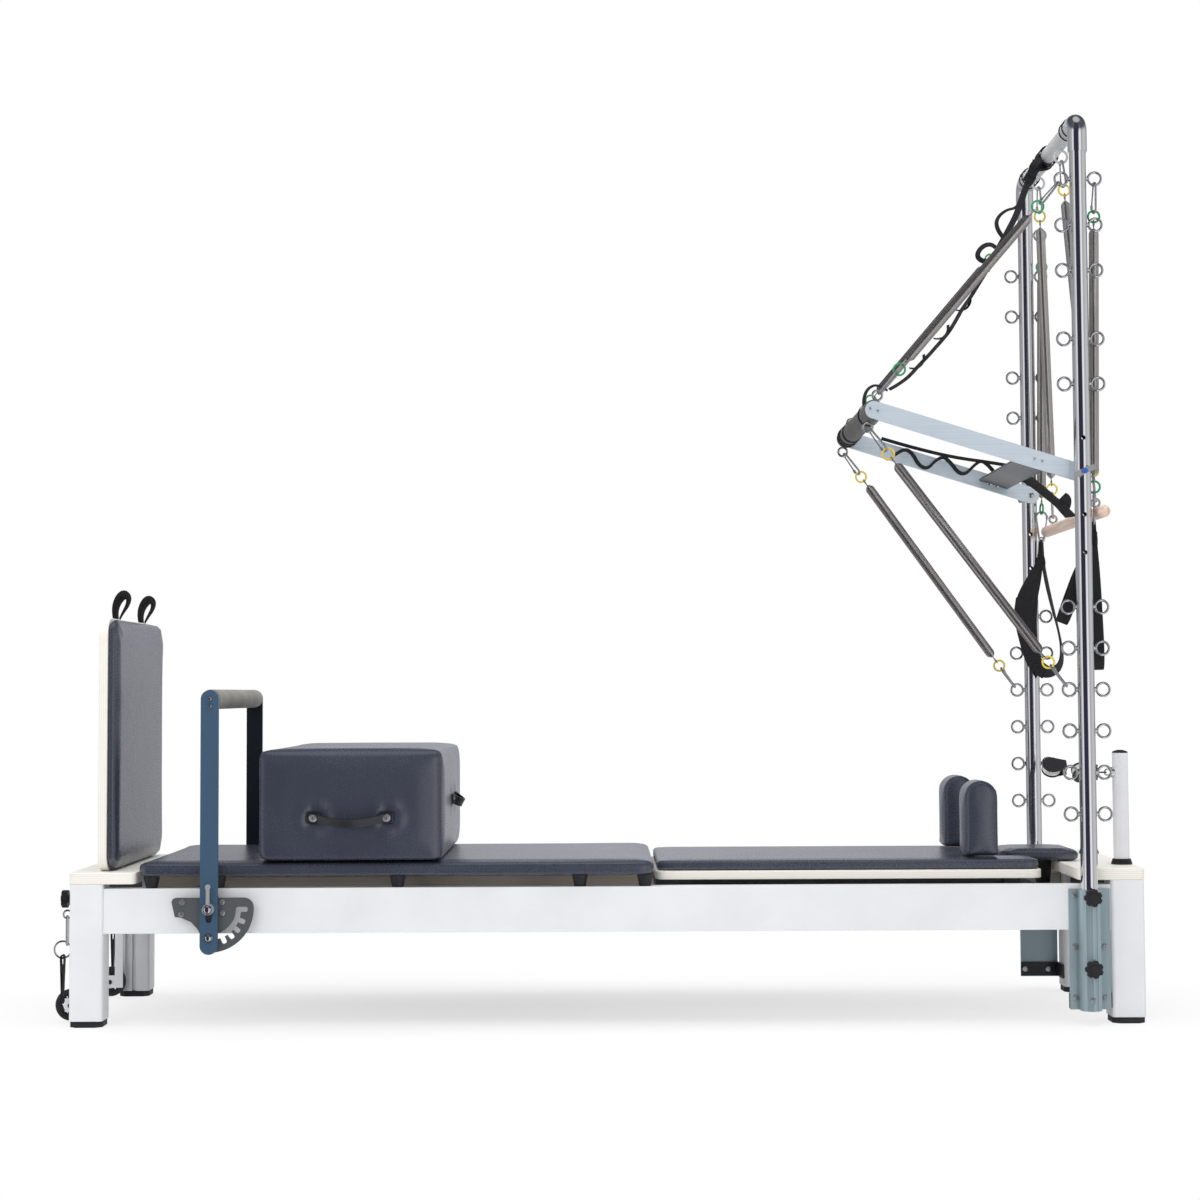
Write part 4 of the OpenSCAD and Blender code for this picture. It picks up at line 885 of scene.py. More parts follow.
# %% Headrest and jump board pad
low, high = node_box("headrest_pad")
outline = rounded_outline((high[0] - low[0]) / 2, (high[1] - low[1]) / 2, 30, centre=(middle(low, high, 0), 0))
flat_pad("headrest", "headrest_pad", "headrest", outline, [("headrest", 12)], inset=3.0, roll=(4.0, 4.0, 7.0),
         air=(6.0, 5.0, 4.0), foot=3.0, seam=(12, 3.1), cord=(5, 1.2))

low, high = node_box("jump_pad")
outline = rounded_outline(high[1], (high[2] - low[2]) / 2, 40, centre=(0, middle(low, high, 2)))
flat_pad("jump_board_cover", "jump_pad", "frame", outline, [("jump_front", -9.0), ("jump_back", 4.0)], X_AXIS,
         inset=2.0, roll=(2.6, 2.5, 8.0), seam=(-9.5, 4.6), cord=(6, 1.0))

# %% [markdown]
# ## The shoulder rests
# Each one is a thick block with an arched top: two arched face panels and one band over the
# arch, joined by a heavy welt a few millimetres in from the edge. The faces are full, so the
# welts are pinned and the faces swell between them.

# %% Shoulder rests
low, high = node_box("shoulder_rests")
REST_X, REST_HALF = middle(low, high, 0), (high[0] - low[0]) / 2
REST_FOOT, REST_TOP = CARRIAGE_TOP + 0.5, high[2]
REST_DEEP = 118.0
REST_MID = high[1] - REST_DEEP / 2
REST_LEVELS = two_faced([(3, 13), (4.5, 7), (9, 2.5), (16, 0.4)], REST_DEEP)


def arch(half, foot, top, steps=14):
    """An arched outline that starts and ends at its foot on the right."""
    knee = (foot + top - half) / 2
    points = [(half, foot + 3), (half, knee), (half, top - half)]
    points += [(half * math.cos(t), top - half + half * math.sin(t))
               for t in (math.pi * i / steps for i in range(1, steps))]
    points += [(-half, top - half), (-half, knee), (-half, foot + 3)]
    return points + [(3 - half, foot), (0.0, foot), (half - 3, foot)]


for tag, side in SIDES:
    y0 = side * REST_MID - REST_DEEP / 2
    place = Matrix(((1, 0, 0, mm(REST_X + SHIFT)), (0, 0, 1, mm(y0)), (0, 1, 0, 0), (0, 0, 0, 1)))
    rest = shell("shoulder_rest_" + tag, drawn_in(arch(REST_HALF, REST_FOOT, REST_TOP), 2.6), REST_LEVELS, place)
    pump_up(rest, 5.5, 7.0, 5.5, lambda p: p.z < REST_FOOT + 4
            or abs(min(abs(p.y - y0), abs(p.y - y0 - REST_DEEP)) - 8.5) < 2.8)
    upholster(rest, "carriage", "shoulder_rests")
    rim = arch(REST_HALF - 1.5, REST_FOOT, REST_TOP - 1.5, 20)[:-3]
    for index, y in enumerate((y0 + 6.5, y0 + REST_DEEP - 6.5)):
        path = [at(REST_X + a, y, b) for a, b in rim]
        welt(rest, f"shoulder_{tag}_welt_{index}", "carriage", path, 4, 1.9, False, 0.2)
print("shoulder rests rise", round(REST_TOP - CARRIAGE_TOP), "mm above the pad")

# %% [markdown]
# ## The sitting box
# The box is wrapped by one wide band over its near side, top and far side, with a sewn panel at
# each end. The band's corners are softly round, the end panels meet it in a welt. Where the
# leather handle is screwed through, the cover is pulled in and throws short creases. That is
# pressed into the finished mesh: a dent is a bell curve in the distance from the screw, and the
# swelling is a ring shaped bell, made uneven by five creases.

# %% Sitting box
(BOX_X0, _, BOX_Z0), (BOX_X1, BOX_Y, BOX_Z1) = node_box("sitting_box")
BOX_LONG, BOX_TALL = BOX_X1 - BOX_X0, BOX_Z1 - BOX_Z0
box_centre = (0, (BOX_Z0 + BOX_Z1 - 3.0) / 2)
outline = rounded_outline(BOX_Y - 4.5, (BOX_TALL - 3.8) / 2, 21, centre=box_centre)
levels = two_faced([(4.5, 17), (6, 9), (11, 3), (20, 0.4)], BOX_LONG)
box = shell("sitting_box_cover", outline, levels, standing(BOX_X0))
pump_up(box, 9.0, 4.0, 3.2,
        lambda p: p.z < BOX_Z0 + 5.5 or abs(min(p.x - BOX_X0, BOX_X1 - p.x) - 11.0) < 4.6)


def pressed(piece, spot, facing, depth, reach, swell):
    """Pull the cover in at a screw and let it belly out round it."""
    facing = Vector(facing)
    for vertex in piece.data.vertices:
        away = vertex.co - spot
        flat = (away - facing * away.dot(facing)).length * 1000
        if abs(away.dot(facing)) > 0.04 or flat > 90:
            continue
        turn = math.atan2(away.z, away.x if abs(facing.y) > 0.5 else away.y)
        crease = 0.5 + 0.5 * math.cos(5 * turn + 1.2)
        dent = -depth * math.exp(-(flat / reach) ** 2)
        belly = swell * math.exp(-((flat - 2.0 * reach) / (0.7 * reach)) ** 2) * (0.35 + 0.65 * crease)
        vertex.co += facing * mm(dent + belly)


HANDLE_MID, HANDLE_GAP, HANDLE_Z = (BOX_X0 + BOX_X1) / 2, 82.5, 468.0
END_GAP, END_Z = 66.0, MAT_TOP + 128.0
for side in (-1, 1):
    for end in (-1, 1):
        pressed(box, at(HANDLE_MID + end * HANDLE_GAP, side * BOX_Y, HANDLE_Z), (0, side, 0), 6.5, 15, 4.4)
for end in (-1, 1):
    pressed(box, at(BOX_X1, end * END_GAP, END_Z), (1, 0, 0), 5.0, 13, 2.6)
for vertex in box.data.vertices:
    vertex.co.y = max(-mm(BOX_Y + 4), min(mm(BOX_Y + 4), vertex.co.y))
upholster(box, "frame", "sitting_box")
ring = rounded_outline(BOX_Y - 3, (BOX_TALL - 3.0) / 2, 20, 8, box_centre)
for tag, x in (("tower", BOX_X1 - 7.5), ("foot", BOX_X0 + 7.5)):
    welt(box, f"box_{tag}_welt", "frame", [at(x, a, b) for a, b in ring], 6, 1.5, sink=0.4)
print("box", [round(v) for v in (BOX_LONG, 2 * BOX_Y, BOX_TALL)], "mm")

# %% [markdown]
# ## A taut line and its own axes
# Every spring hangs on the same chain: the eyebolt, a pear shaped snap hook, a coloured ring,
# the spring's own hook, and then some two hundred close turns of wire. Built along the line
# from one eye to the other, all of them need just one set of numbers. `Line` gives that frame:
# its third axis runs along the line and its second stays level across the bed.

# %% Line
SPRING_R, SPRING_WIRE, SPRING_PITCH = 11.2, 1.22, 2.42
RING_R, RING_WIRE = 13.2, 2.4
EYE_R, EYE_GAP = 14.7, 8.9


class Line:
    """A straight line between two points in drawing millimetres, with its own axes."""

    def __init__(self, a, b):
        self.a, self.b = Vector(a), Vector(b)
        self.length = (self.b - self.a).length
        self.w = (self.b - self.a).normalized()
        self.v = (Vector((0, 1, 0)) - self.w * self.w.y).normalized()
        self.u = self.v.cross(self.w)

    def spot(self, x, y, z):
        return at(*(self.a + self.u * x + self.v * y + self.w * z))

    def flat(self, turn, across, along):
        """A point in the plane that holds the line, turned about it from the level axis."""
        t = math.radians(turn)
        return self.spot(math.sin(t) * across, math.cos(t) * across, along)
    def ring(self, turn, centre, radius, steps=28):
        """A circle round the level axis, turned about the line."""
        t = math.radians(turn)
        across = self.u * math.cos(t) - self.v * math.sin(t)
        return circle(self.a + self.w * centre, self.w, across, radius, steps)


def circle(centre, first, second, radius, steps):
    """Points round a drawing position, in the plane of two directions."""
    return [at(*(centre + (first * math.cos(t) + second * math.sin(t)) * radius))
            for t in (math.tau * i / steps for i in range(steps))]


def on_eye(eye, radius, far):
    """Where a chain starts, so that its first hook turns about the eyebolt's wire."""
    eye, far = Vector(eye), Vector(far)
    pull = far - eye
    return eye + radius * Vector((pull.x, 0, pull.z)).normalized() - EYE_R * pull.normalized()


print("spring geometry ready")

# %% [markdown]
# ## Snap hooks
# A snap hook is bent from one rod: a narrow bow at the eyebolt, a wide one at the ring, and a
# sprung gate that closes the mouth. The gate is thinner than the rod, turns in a fat knuckle at
# its foot and ends in a nose. Those three sizes make it read as a hook and not as a chain link.

# %% Snap hook and ring
HOOK_ROD, HOOK_BOW = 2.5, 6.6
GATE_STEPS, GATE_RADII = (0.05, 0.3, 0.6, 0.86, 1.0), (1.9, 1.8, 1.8, 1.9, 2.4)
NOSE_STEPS, NOSE_RADII = (-4.0, -2.5, 3.0, 5.0), (2.6, 3.3, 3.3, 2.6)
COIL, METAL, DIP = 0, 1, 2


def snap_hook(bits, line, start, length, turn, wide=12.0):
    path = [(HOOK_BOW * math.cos(t), start + HOOK_BOW + HOOK_BOW * math.sin(t))
            for t in (math.radians(180 + 20 * i) for i in range(10))]
    path += [(wide * math.cos(t), start + length - wide + wide * math.sin(t))
             for t in (math.radians(18 * i) for i in range(11))]
    low, high = path[9], path[10]
    gate = [(low[0] + (high[0] - low[0]) * k, low[1] + (high[1] - low[1]) * k) for k in GATE_STEPS]
    nose = [(high[0], high[1] + d) for d in NOSE_STEPS]
    for bent, radius, sides in (
            (path[10:] + path[:10], HOOK_ROD, 8), (gate, GATE_RADII, 7),
            ((gate[0], path[8], path[7]), HOOK_ROD + 0.9, 8), (nose, NOSE_RADII, 8)):
        bits.add(tube([line.flat(turn, *p) for p in bent], radius, sides), METAL)


def chain_end(bits, line, hook=0.0, turn=0.0, ring_turn=0.0, wide=12.0):
    """Snap hook, dipped ring and the spring's own hook; gives back where the coil starts."""
    centre = 0.0
    if hook:
        snap_hook(bits, line, EYE_GAP, hook, turn, wide)
        centre = EYE_GAP + hook + 7.8
    bits.add(tube(line.ring(ring_turn, centre, RING_R), RING_WIRE, 9, True), DIP)
    loop = centre + 15.6
    bits.add(tube(line.ring(90, loop, 6.4, 18), 1.35, 7, True), COIL)
    bits.add(tube([line.spot(0, 0, loop + 6.4), line.spot(0, 0, centre + 30)], 1.5, 7), COIL)
    return centre + 28


def winding(line, start, end):
    """Close turns of wire, drawn in to a neck at both ends."""
    turns = (end - start) / SPRING_PITCH
    steps = int(turns * 10)
    section = [(0.3 * math.cos(t), SPRING_WIRE * math.sin(t)) for t in (math.tau * k / 6 for k in range(6))]
    rings = []
    for i in range(steps + 1):
        z = start + (end - start) * i / steps
        reach = min(1.0, min(z - start, end - z) / 12.0)
        r = SPRING_R * (0.25 + 0.75 * math.sin(reach * math.pi / 2))
        t = math.tau * turns * i / steps
        rings.append([line.spot((r + out) * math.cos(t), (r + out) * math.sin(t), z + up) for out, up in section])
    return loft(rings)


print("hooks and coils ready")

# %% [markdown]
# ## The springs themselves
# The four slanting springs tie the push-through bar to the uprights. Their upper ends hang on the
# tower and their other ends on the bar; these pieces ride on no body. The green rings mark the firm
# pair above and the yellow ones the lighter pair below.
# The roll-down bar hangs on two more springs below the crossbar, and it swings with them.

# %% Long springs
HOOK_LEAN = 18.0


def long_spring(name, a, b, ring, body=None, hooks=(65.0, 65.0)):
    line, back = Line(a, b), Line(b, a)
    bits = Bits()
    start, end = (chain_end(bits, way, hook, HOOK_LEAN) for way, hook in zip((line, back), hooks))
    bits.add(winding(line, start, line.length - end), COIL)
    return bits.piece(name, body, [WIRE_STEEL, ZINC, ring], "spring_steel")


def ptb_eye(side, up):
    return (PTB_END[0] + up * 38 * PTB_UP[0], side * 290.0, PTB_END[1] + up * 38 * PTB_UP[1])


for tag, side in SIDES:
    for level, height, up, ring, hooks in (
            ("upper", 1910.0, 1, GREEN_RING, (65.0, 65.0)), ("lower", 748.0, -1, YELLOW_RING, (60.0, 65.0))):
        post, bar = (TUBE_X - 38, side * TUBE_Y, height), ptb_eye(side, up)
        spring = long_spring(f"{level}_spring_{tag}", on_eye(post, EYE_R, bar), on_eye(bar, 11.0, post),
                             ring, None, hooks)
        at(*post)
        at(*bar)
        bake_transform(spring)
        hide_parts(level + "_springs")
    beam, bar = (TUBE_X, side * 150.0, 2004.0), (1127.0, side * 265.0, 1175.0)
    spring = long_spring(f"rolldown_spring_{tag}", on_eye(beam, EYE_R, bar), on_eye(bar, 9.0, beam),
                         YELLOW_RING, "roll_down_bar")
    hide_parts("rolldown_springs")
print("long springs wound")

# %% [markdown]
# The last pair of springs carries the strap loops. Their upper hooks lean, so that the springs
# hang clear of the eyebolts beside the uprights, and a small eye holds the webbing below.

# %% Loop springs
CHAIN_X, CHAIN_Y, CHAIN_Z = 1109.0, 331.0, 1118.0


def loop_spring(tag, side, turn):
    top, low = (1120.0, side * CHAIN_Y, 1826.0), (CHAIN_X, side * CHAIN_Y, CHAIN_Z)
    line, rise = Line(top, low), Line(low, top)
    bits = Bits()
    lean = Line((1120.0, side * TUBE_Y, 1895.3), (1120.0, side * CHAIN_Y, 1839.0))
    snap_hook(bits, lean, -5.8, 69.0, 12.0)
    start, end = chain_end(bits, line), chain_end(bits, rise, 72.0, turn, turn, 14.0)
    bits.add(winding(line, start, line.length - end), COIL)
    bits.add(tube(rise.ring(turn + 90, EYE_GAP + 1.0, 6.0, 16), 2.0, 7, True), METAL)
    bits.piece("loop_spring_and_hooks_" + tag, "loop_spring_" + tag, [WIRE_STEEL, ZINC, GREEN_RING],
               "spring_steel", node="loops_" + tag)


loop_spring("near", -1, 8.0)
loop_spring("far", 1, 84.0)
print("loop springs wound")

# %% [markdown]
# ## Twisting straps
# A strap never stays in one plane: it turns edge-on where it bends. So each strap is a row of
# stations, and every station holds a place, how wide the strap shows in the plane along the
# bed, and how wide it is across that plane. Cutting the corners of these rows, round after
# round, smooths place and twist together. `wound` turns a strap once round a bar.

# %% Straps


def eased_rows(rows, rounds=2):
    for _ in range(rounds):
        cut = [rows[0]]
        for a, b in zip(rows, rows[1:]):
            cut += [tuple(p * k + q * (1 - k) for p, q in zip(a, b)) for k in (0.75, 0.25)]
        rows = cut + [rows[-1]]
    return rows


def twisting(rows, thickness, rounds=2):
    """Rows of x, y, z, width in the XZ plane, width across it, in millimetres."""
    rows = eased_rows(rows, rounds)
    side_view = [Vector((x, 0, z)) for x, _, z, _, _ in rows]
    halves = [(Vector((run.z, 0, -run.x)) * flat + Vector((0, across, 0))) / 1000
              for (_, run), (*_, flat, across) in zip(headings(side_view), rows)]
    return ribbon([at(*row[:3]) for row in rows], halves, thickness)


def flat_strap(bits, rows, width, thickness=1.8):
    """A strap of even width whose face looks across the bed; rows are x, y, z and a twist."""
    turns = [math.radians(row[3]) for row in rows]
    rows = [(*row[:3], width * math.cos(t), width * math.sin(t)) for row, t in zip(rows, turns)]
    bits.add(twisting(rows, thickness))


def wound(x, z, radius, y, slant, half_width, thickness, steps=22):
    path = [at(x + radius * math.cos(t), y + slant * t / math.tau, z + radius * math.sin(t))
            for t in (math.tau * i / steps for i in range(steps + 1))]
    return ribbon(path, Vector((0, mm(half_width), 0)), thickness)


def webbing(bits, name, body, node=None):
    return bits.piece(name, body, WEBBING, "black_webbing", node=node)


print("straps ready")

# %% [markdown]
# ## Strap loops
# The loops on the hanging springs are doubled webbing with a padded middle, and a short sleeve
# gathers both runs below the hook. The far one shows its open side. The near two stand across
# the bed, so each goes down one side, round, and up the other.

# %% Strap loops

FAR_LOOP = [(-3, 331, 9, 3, 5), (-4, 328, -45, 7, 3), (-22, 322, -90, 18, 5), (-42, 317, -140, 26, 6),
            (-48, 313, -183, 27, 8), (-44, 308, -230, 22, 10), (-38, 302, -275, 17, 14), (-24, 299, -312, 15, 18),
            (2, 299, -328, 14, 20), (27, 301, -321, 12, 20), (41, 303, -300, 9, 22), (42, 306, -262, 6, 22),
            (34, 309, -215, 5, 22), (22, 313, -165, 6, 18), (9, 320, -100, 6, 12), (2, 327, -48, 4, 6),
            (1, 331, 9, 3, 5)]
FAR_LOOP = [(CHAIN_X + x, y, CHAIN_Z + z, flat, across) for x, y, z, flat, across in FAR_LOOP]
FAR_SLEEVE = [(CHAIN_X + x, 330, CHAIN_Z + z, w, 6) for x, z, w in ((-4, -34, 9), (-3, -46, 11), (-3, -58, 10))]
bits = Bits()
bits.add(twisting(FAR_LOOP, 3.6))
bits.add(twisting([(x, y - 2.2, z, a * 1.04, b * 1.04) for x, y, z, a, b in FAR_LOOP[3:9]], 6.0))
bits.add(twisting(FAR_SLEEVE, 7.5, 1))
webbing(bits, "far_strap_loop", "loop_spring_far", "loops_far")

LOOP_SHAPE = [(0.0, 0.1), (0.16, 0.35), (0.36, 0.7), (0.6, 0.95), (0.82, 1.0), (0.94, 0.75), (1.0, 0.0)]
LOOP_Y, LOOP_MID_Y = -331, -303


def edge_on_loop(bits, top, low, depth, widths):
    """A loop whose own plane stands across the bed: down one side, round and up the other."""
    down, back = [], []
    for share, bulge in LOOP_SHAPE:
        x = top[0] + (low[0] - top[0]) * share
        z = top[1] + (low[1] - top[1]) * share
        y = LOOP_Y + (LOOP_MID_Y - LOOP_Y) * min(1.0, share / 0.3)
        wide = widths[0] + (widths[1] - widths[0]) * min(1.0, share / 0.35)
        down.append((x, y - bulge * depth, z, wide))
        back.append((x, y + bulge * depth, z, wide))
    rows = eased_rows(down + back[-2::-1])
    aim = Vector((low[0] - top[0], 0, low[1] - top[1])).normalized()
    side = Vector((aim.z, 0, -aim.x))
    bits.add(ribbon([at(*row[:3]) for row in rows], [side * mm(w) for *_, w in rows], 4.2))


bits = Bits()
edge_on_loop(bits, (1106, 1082), (1037, 898), 17, (5.5, 13.5))
edge_on_loop(bits, (1108, 1128), (1119, 789), 19, (4.5, 12.5))
for z, wide in ((1096, 7.0), (1084, 8.0)):
    bits.add(twisting([(1107, LOOP_Y, z + rise, wide, 5) for rise in (9, 0, -9)], 8.0, 1))
webbing(bits, "near_strap_loops", "loop_spring_near", "loops_near")
print("strap loops tied")

# %% [markdown]
# ## Webbing on the jump board and at the tether rings
# Two short loops stand up behind the jump board's top edge, and a strap hangs from each tether
# ring at the foot end. They share the twisting strap helper.

# %% Webbing loops
low, high = node_box("jump_panel")
JUMP_BACK, JUMP_TOP = low[0], high[2]
BOARD_LOOP = [(9, 1, 4), (7, 20, 5), (11, 38, 7), (22, 54, 9), (33, 59, 10), (43, 50, 9), (40, 34, 7),
              (27, 15, 5), (19, 1, 4)]
TETHER_X, TETHER_Z = -1232.0, 170.8
TETHER_RUN = [(-1.3, -106, 0), (-2.2, -60, 0.5), (-3.8, -28, 0), (-4.2, -20, 0), (-3.4, -14, 0)]
TETHER_RUN += [(0, -11.2, 0)] + [(-x, z, -lean) for x, z, lean in reversed(TETHER_RUN)]
bits = Bits()
for side in (-1, 1):
    y = side * 285.0
    bits.add(twisting([(JUMP_BACK + x, side * 157 - 0.5 * x + 11, JUMP_TOP + z, lean, 13.5)
                       for x, z, lean in BOARD_LOOP], 2.0))
    bits.add(twisting([(TETHER_X + x, y, TETHER_Z + z, lean, 9.0) for x, z, lean in TETHER_RUN], 2.2))
    bits.add(ribbon([at(TETHER_X, y, TETHER_Z - drop) for drop in (34, 52)], Vector((0, mm(9.6), 0)), 8.4))
webbing(bits, "webbing_straps", "frame", "webbing_loops")
print("webbing ready")

# %% [markdown]
# ## Leather handles of the sitting box
# A handle is a strip of thick leather screwed down through a tab at each end. The strip arches
# out and sags. Both edges are stitched, and each screw sits in a bright turned washer. Turned
# parts are tubes whose radius changes on the way.

# %% Box handles


def turned(centre, axis, profile, sides=24):
    """A small turned part: profile is a list of (distance along the axis, radius)."""
    path = [at(*(Vector(centre) + Vector(axis) * d)) for d, _ in profile]
    return tube(path, [max(r, 0.05) for _, r in profile], sides)


def handle(name, middle, along, out, gap):
    up = Vector((0, 0, 1))
    along, out, middle = Vector(along), Vector(out), Vector(middle)
    tilt = math.radians(-28)
    arch_out = out * math.cos(tilt) + up * math.sin(tilt)
    arch_up = up * math.cos(tilt) - out * math.sin(tilt)
    strip = [(-gap - 13, 3.4), (-gap + 4, 4.0), (-gap + 16, 8), (-gap * 0.6, 16), (-gap * 0.28, 23), (0, 25.5)]
    strip += [(-a, b) for a, b in reversed(strip[:-1])]
    strip = eased_rows([(a, b, min(1.0, max(0.0, (gap + 2 - abs(a)) / 20))) for a, b in strip], 3)
    path, halves = [], []
    for a, b, share in strip:
        flat, arched = (at(*(middle + along * a + way * b)) for way in (out, arch_out))
        path.append(flat.lerp(arched, share))
        halves.append(up.lerp(arch_up, share) * mm(10.5))
    bits = Bits()
    bits.add(ribbon(path, halves, 3.6))
    for edge in (-0.78, 0.78):
        for i in range(2, len(path) - 3, 2):
            facing = (path[i + 1] - path[i]).cross(halves[i]).normalized()
            facing *= 1 if facing.dot(out) > 0 else -1
            lift = halves[i] * edge + facing * mm(2.0)
            bits.add(tube([path[i] + lift, path[i].lerp(path[i + 1], 0.7) + lift], 0.45, 5), 2)
    for end in (-1, 1):
        spot = middle + along * gap * end
        for lift, radius, wire in ((5.4, 7.6, 1.3), (6.0, 4.6, 1.2)):
            bits.add(tube(circle(spot + out * lift, along, up, radius, 24), wire, 7, True), 1)
        bits.add(turned(spot, out, [(0.5, 8.4), (5.2, 8.4), (6.6, 3.8), (7.2, 0.6)], 20), 1)
        tab = rounded_outline(15.5, 11.5, 4.0, 3)
        bits.add(loft([[at(*(spot + out * d + (along * c + up * s) * grow)) for c, s in tab]
                       for d, grow in ((0.2, 1.0), (1.4, 1.03), (3.2, 1.03), (4.2, 0.95))]))
    bits.piece(name, "frame", [BLACK_LEATHER, CHROME, DARK_THREAD], "black_leather", 45, "box_handles")
handle("box_handle_near", (HANDLE_MID, -BOX_Y, HANDLE_Z), (1, 0, 0), (0, -1, 0), HANDLE_GAP)
handle("box_handle_far", (HANDLE_MID, BOX_Y, HANDLE_Z), (-1, 0, 0), (0, 1, 0), HANDLE_GAP)
handle("box_handle_end", (BOX_X1, 0, END_Z), (0, 1, 0), (1, 0, 0), END_GAP)
print("handles ready")

# %% [markdown]
# ## The safety strap
# A black webbing strap is wound round the grey crossbar, knotted, and runs down beside
# the springs to the push-through bar's grip. It crosses a joint and rides on no body, like the
# slanting springs. Its slack stands off in small bights. Each row below is a station of the strap.

# %% Safety strap

RUN = [(1053, 30, 2009), (1033, 13, 1980), (1012, -5, 1930), (997, -22, 1891), (971, -39, 1845), (932, -57, 1778),
       (915, -74, 1746), (890, -91, 1708), (870, -109, 1677), (849, -126, 1650), (833, -144, 1623),
       (809, -161, 1585), (782, -178, 1555), (755, -196, 1525), (732, -213, 1502), (706, -230, 1473),
       (679, -248, 1453), (657, -262, 1440)]
BIG_BIGHT = [(1012, 1928), (1001, 1915), (980, 1911), (962, 1898), (953, 1881), (957, 1862),
             (968, 1846), (975, 1838)]
LOW_BIGHT = [(940, 1806), (929, 1814), (914, 1812), (900, 1800), (895, 1785), (905, 1774),
             (922, 1772), (934, 1780)]
SMALL_BIGHT = [(2, 0, 8), (3, 4, -6), (-6, 6, -20), (-20, 4, -25), (-32, 0, -24)]
bits = Bits()
flat_strap(bits, [(*spot, 10 + 5 * i) for i, spot in enumerate(RUN[:7])], 8.0)
flat_strap(bits, [(*spot, 62) for spot in RUN[6:]], 8.0)
flat_strap(bits, [(x, 12, z, 62) for x, z in BIG_BIGHT], 7.5)
flat_strap(bits, [(x, -58, z, 30) for x, z in LOW_BIGHT], 6.5)
for x, y, z in ((866, -118, 1670), (806, -164, 1596), (742, -212, 1520)):
    flat_strap(bits, [(x + a, y + b, z + c, 68) for a, b, c in SMALL_BIGHT], 6.0, 1.4)
safety = webbing(bits, "safety_strap", None)
at(1060, 0, 2000)
at(640, 0, 1430)
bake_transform(safety)

# %% [markdown]
# The turns round the crossbar and the knot stay with the tower, and so do the thin black rings
# on the sleeve near each elbow.

# %% Knot on the crossbar
KNOT = [
    (13, [(1062, 42, 2038, 20), (1056, 34, 2020, 35), (1047, 26, 2008, 30), (1041, 18, 1996, 10),
          (1030, 12, 1978, 0)]),
    (12, [(1078, 20, 2016, 60), (1066, 8, 2010, 50), (1054, 0, 2014, 20), (1044, 6, 2004, 10),
          (1040, 14, 1990, 20), (1050, 30, 1984, 50)]),
    (11, [(1064, -4, 2030, 60), (1050, -8, 2024, 40), (1042, 0, 2012, 20), (1046, 12, 2000, 10)])]
bits = Bits()
for y, slant in ((6, 9), (30, -7), (52, 6)):
    bits.add(wound(TUBE_X, BEAM_Z, 23.6, y, slant, 10, 2.0))
for width, fold in KNOT:
    flat_strap(bits, fold, width, 3.0)
webbing(bits, "crossbar_knot", "frame")
bits = Bits()
for y in (-285.0, -250.0, 285.0, 250.0):
    ring = circle(Vector((TUBE_X, y, BEAM_Z)), Vector((1, 0, 0)), Vector((0, 0, 1)), 22.6, 32)
    bits.add(tube(ring, 1.7, 8, True))
bits.piece("sleeve_rings", "frame", RUBBER, "black_plastic")
print("safety strap tied")

# %% [markdown]
# ## The zigzag strap on the far arm
# A narrower strap is laid in waves along the inside of the push-through bar's far arm, with its
# bights stitched to a straight band. Turns of it also go round the padded grip.

# %% Zigzag strap
BAND = [(703, 1386), (787, 1361), (884, 1337), (988, 1322), (1046, 1311)]
WAVE = [(735, 1343), (761, 1359), (780, 1348), (796, 1316), (819, 1307), (838, 1328), (858, 1339), (877, 1323),
        (896, 1296), (916, 1294), (936, 1316), (955, 1329), (974, 1314), (994, 1288), (1013, 1287),
        (1030, 1308), (1049, 1309)]
GRIP_END = [(652, 1436), (645, 1440), (636, 1447), (619, 1449), (604, 1438), (597, 1419), (597, 1400), (604, 1386)]
bits = Bits()
bits.add(twisting([(x, 307, z, 3.0, 7.0) for x, z in BAND], 1.8))
bits.add(twisting([(x, 300, z, 3.4, 7.0) for x, z in WAVE], 1.8))
for y, slant, radius in ((262, 10, 26.0), (240, -12, 25.6), (120, 60, 25.6), (-230, 26, 25.8)):
    bits.add(wound(*PTB_END, radius, y, slant, 7.5, 1.6))
bits.add(twisting([(x, -272, z, 3.0, 6.5) for x, z in GRIP_END], 1.6))
webbing(bits, "zigzag_strap", "push_through_bar")

# %% [markdown]
# A wide strap holds the bar back: it runs from the cross brace to the near upright and is
# folded over a plastic slide half way.

# %% Holding strap
HOLD = [(1026, 96, 1268, 8), (1037, 56, 1252, 12), (1045, -40, 1224, 20), (1050, -120, 1200, 25),
        (1053, -200, 1180, 30), (1055, -270, 1158, 20), (1058, -322, 1140, 6)]
SLIDE = [(1064, -196, 1196, 0), (1070, -210, 1190, 10), (1068, -222, 1178, 20), (1062, -226, 1166, 10)]
bits = Bits()
flat_strap(bits, HOLD, 13, 2.4)
flat_strap(bits, SLIDE, 12, 2.4)
holding = webbing(bits, "holding_strap", None)
at(1030, 60, 1262)
at(1052, -250, 1162)
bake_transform(holding)
print("bar straps laid")

# %% [markdown]
# ## Small fittings
# Rubber collars close the foot bar's grip, domed bolt heads on washers hold its arms and clamp
# levers, and small domes end the push-through bar's bolts. All are turned from short profiles.

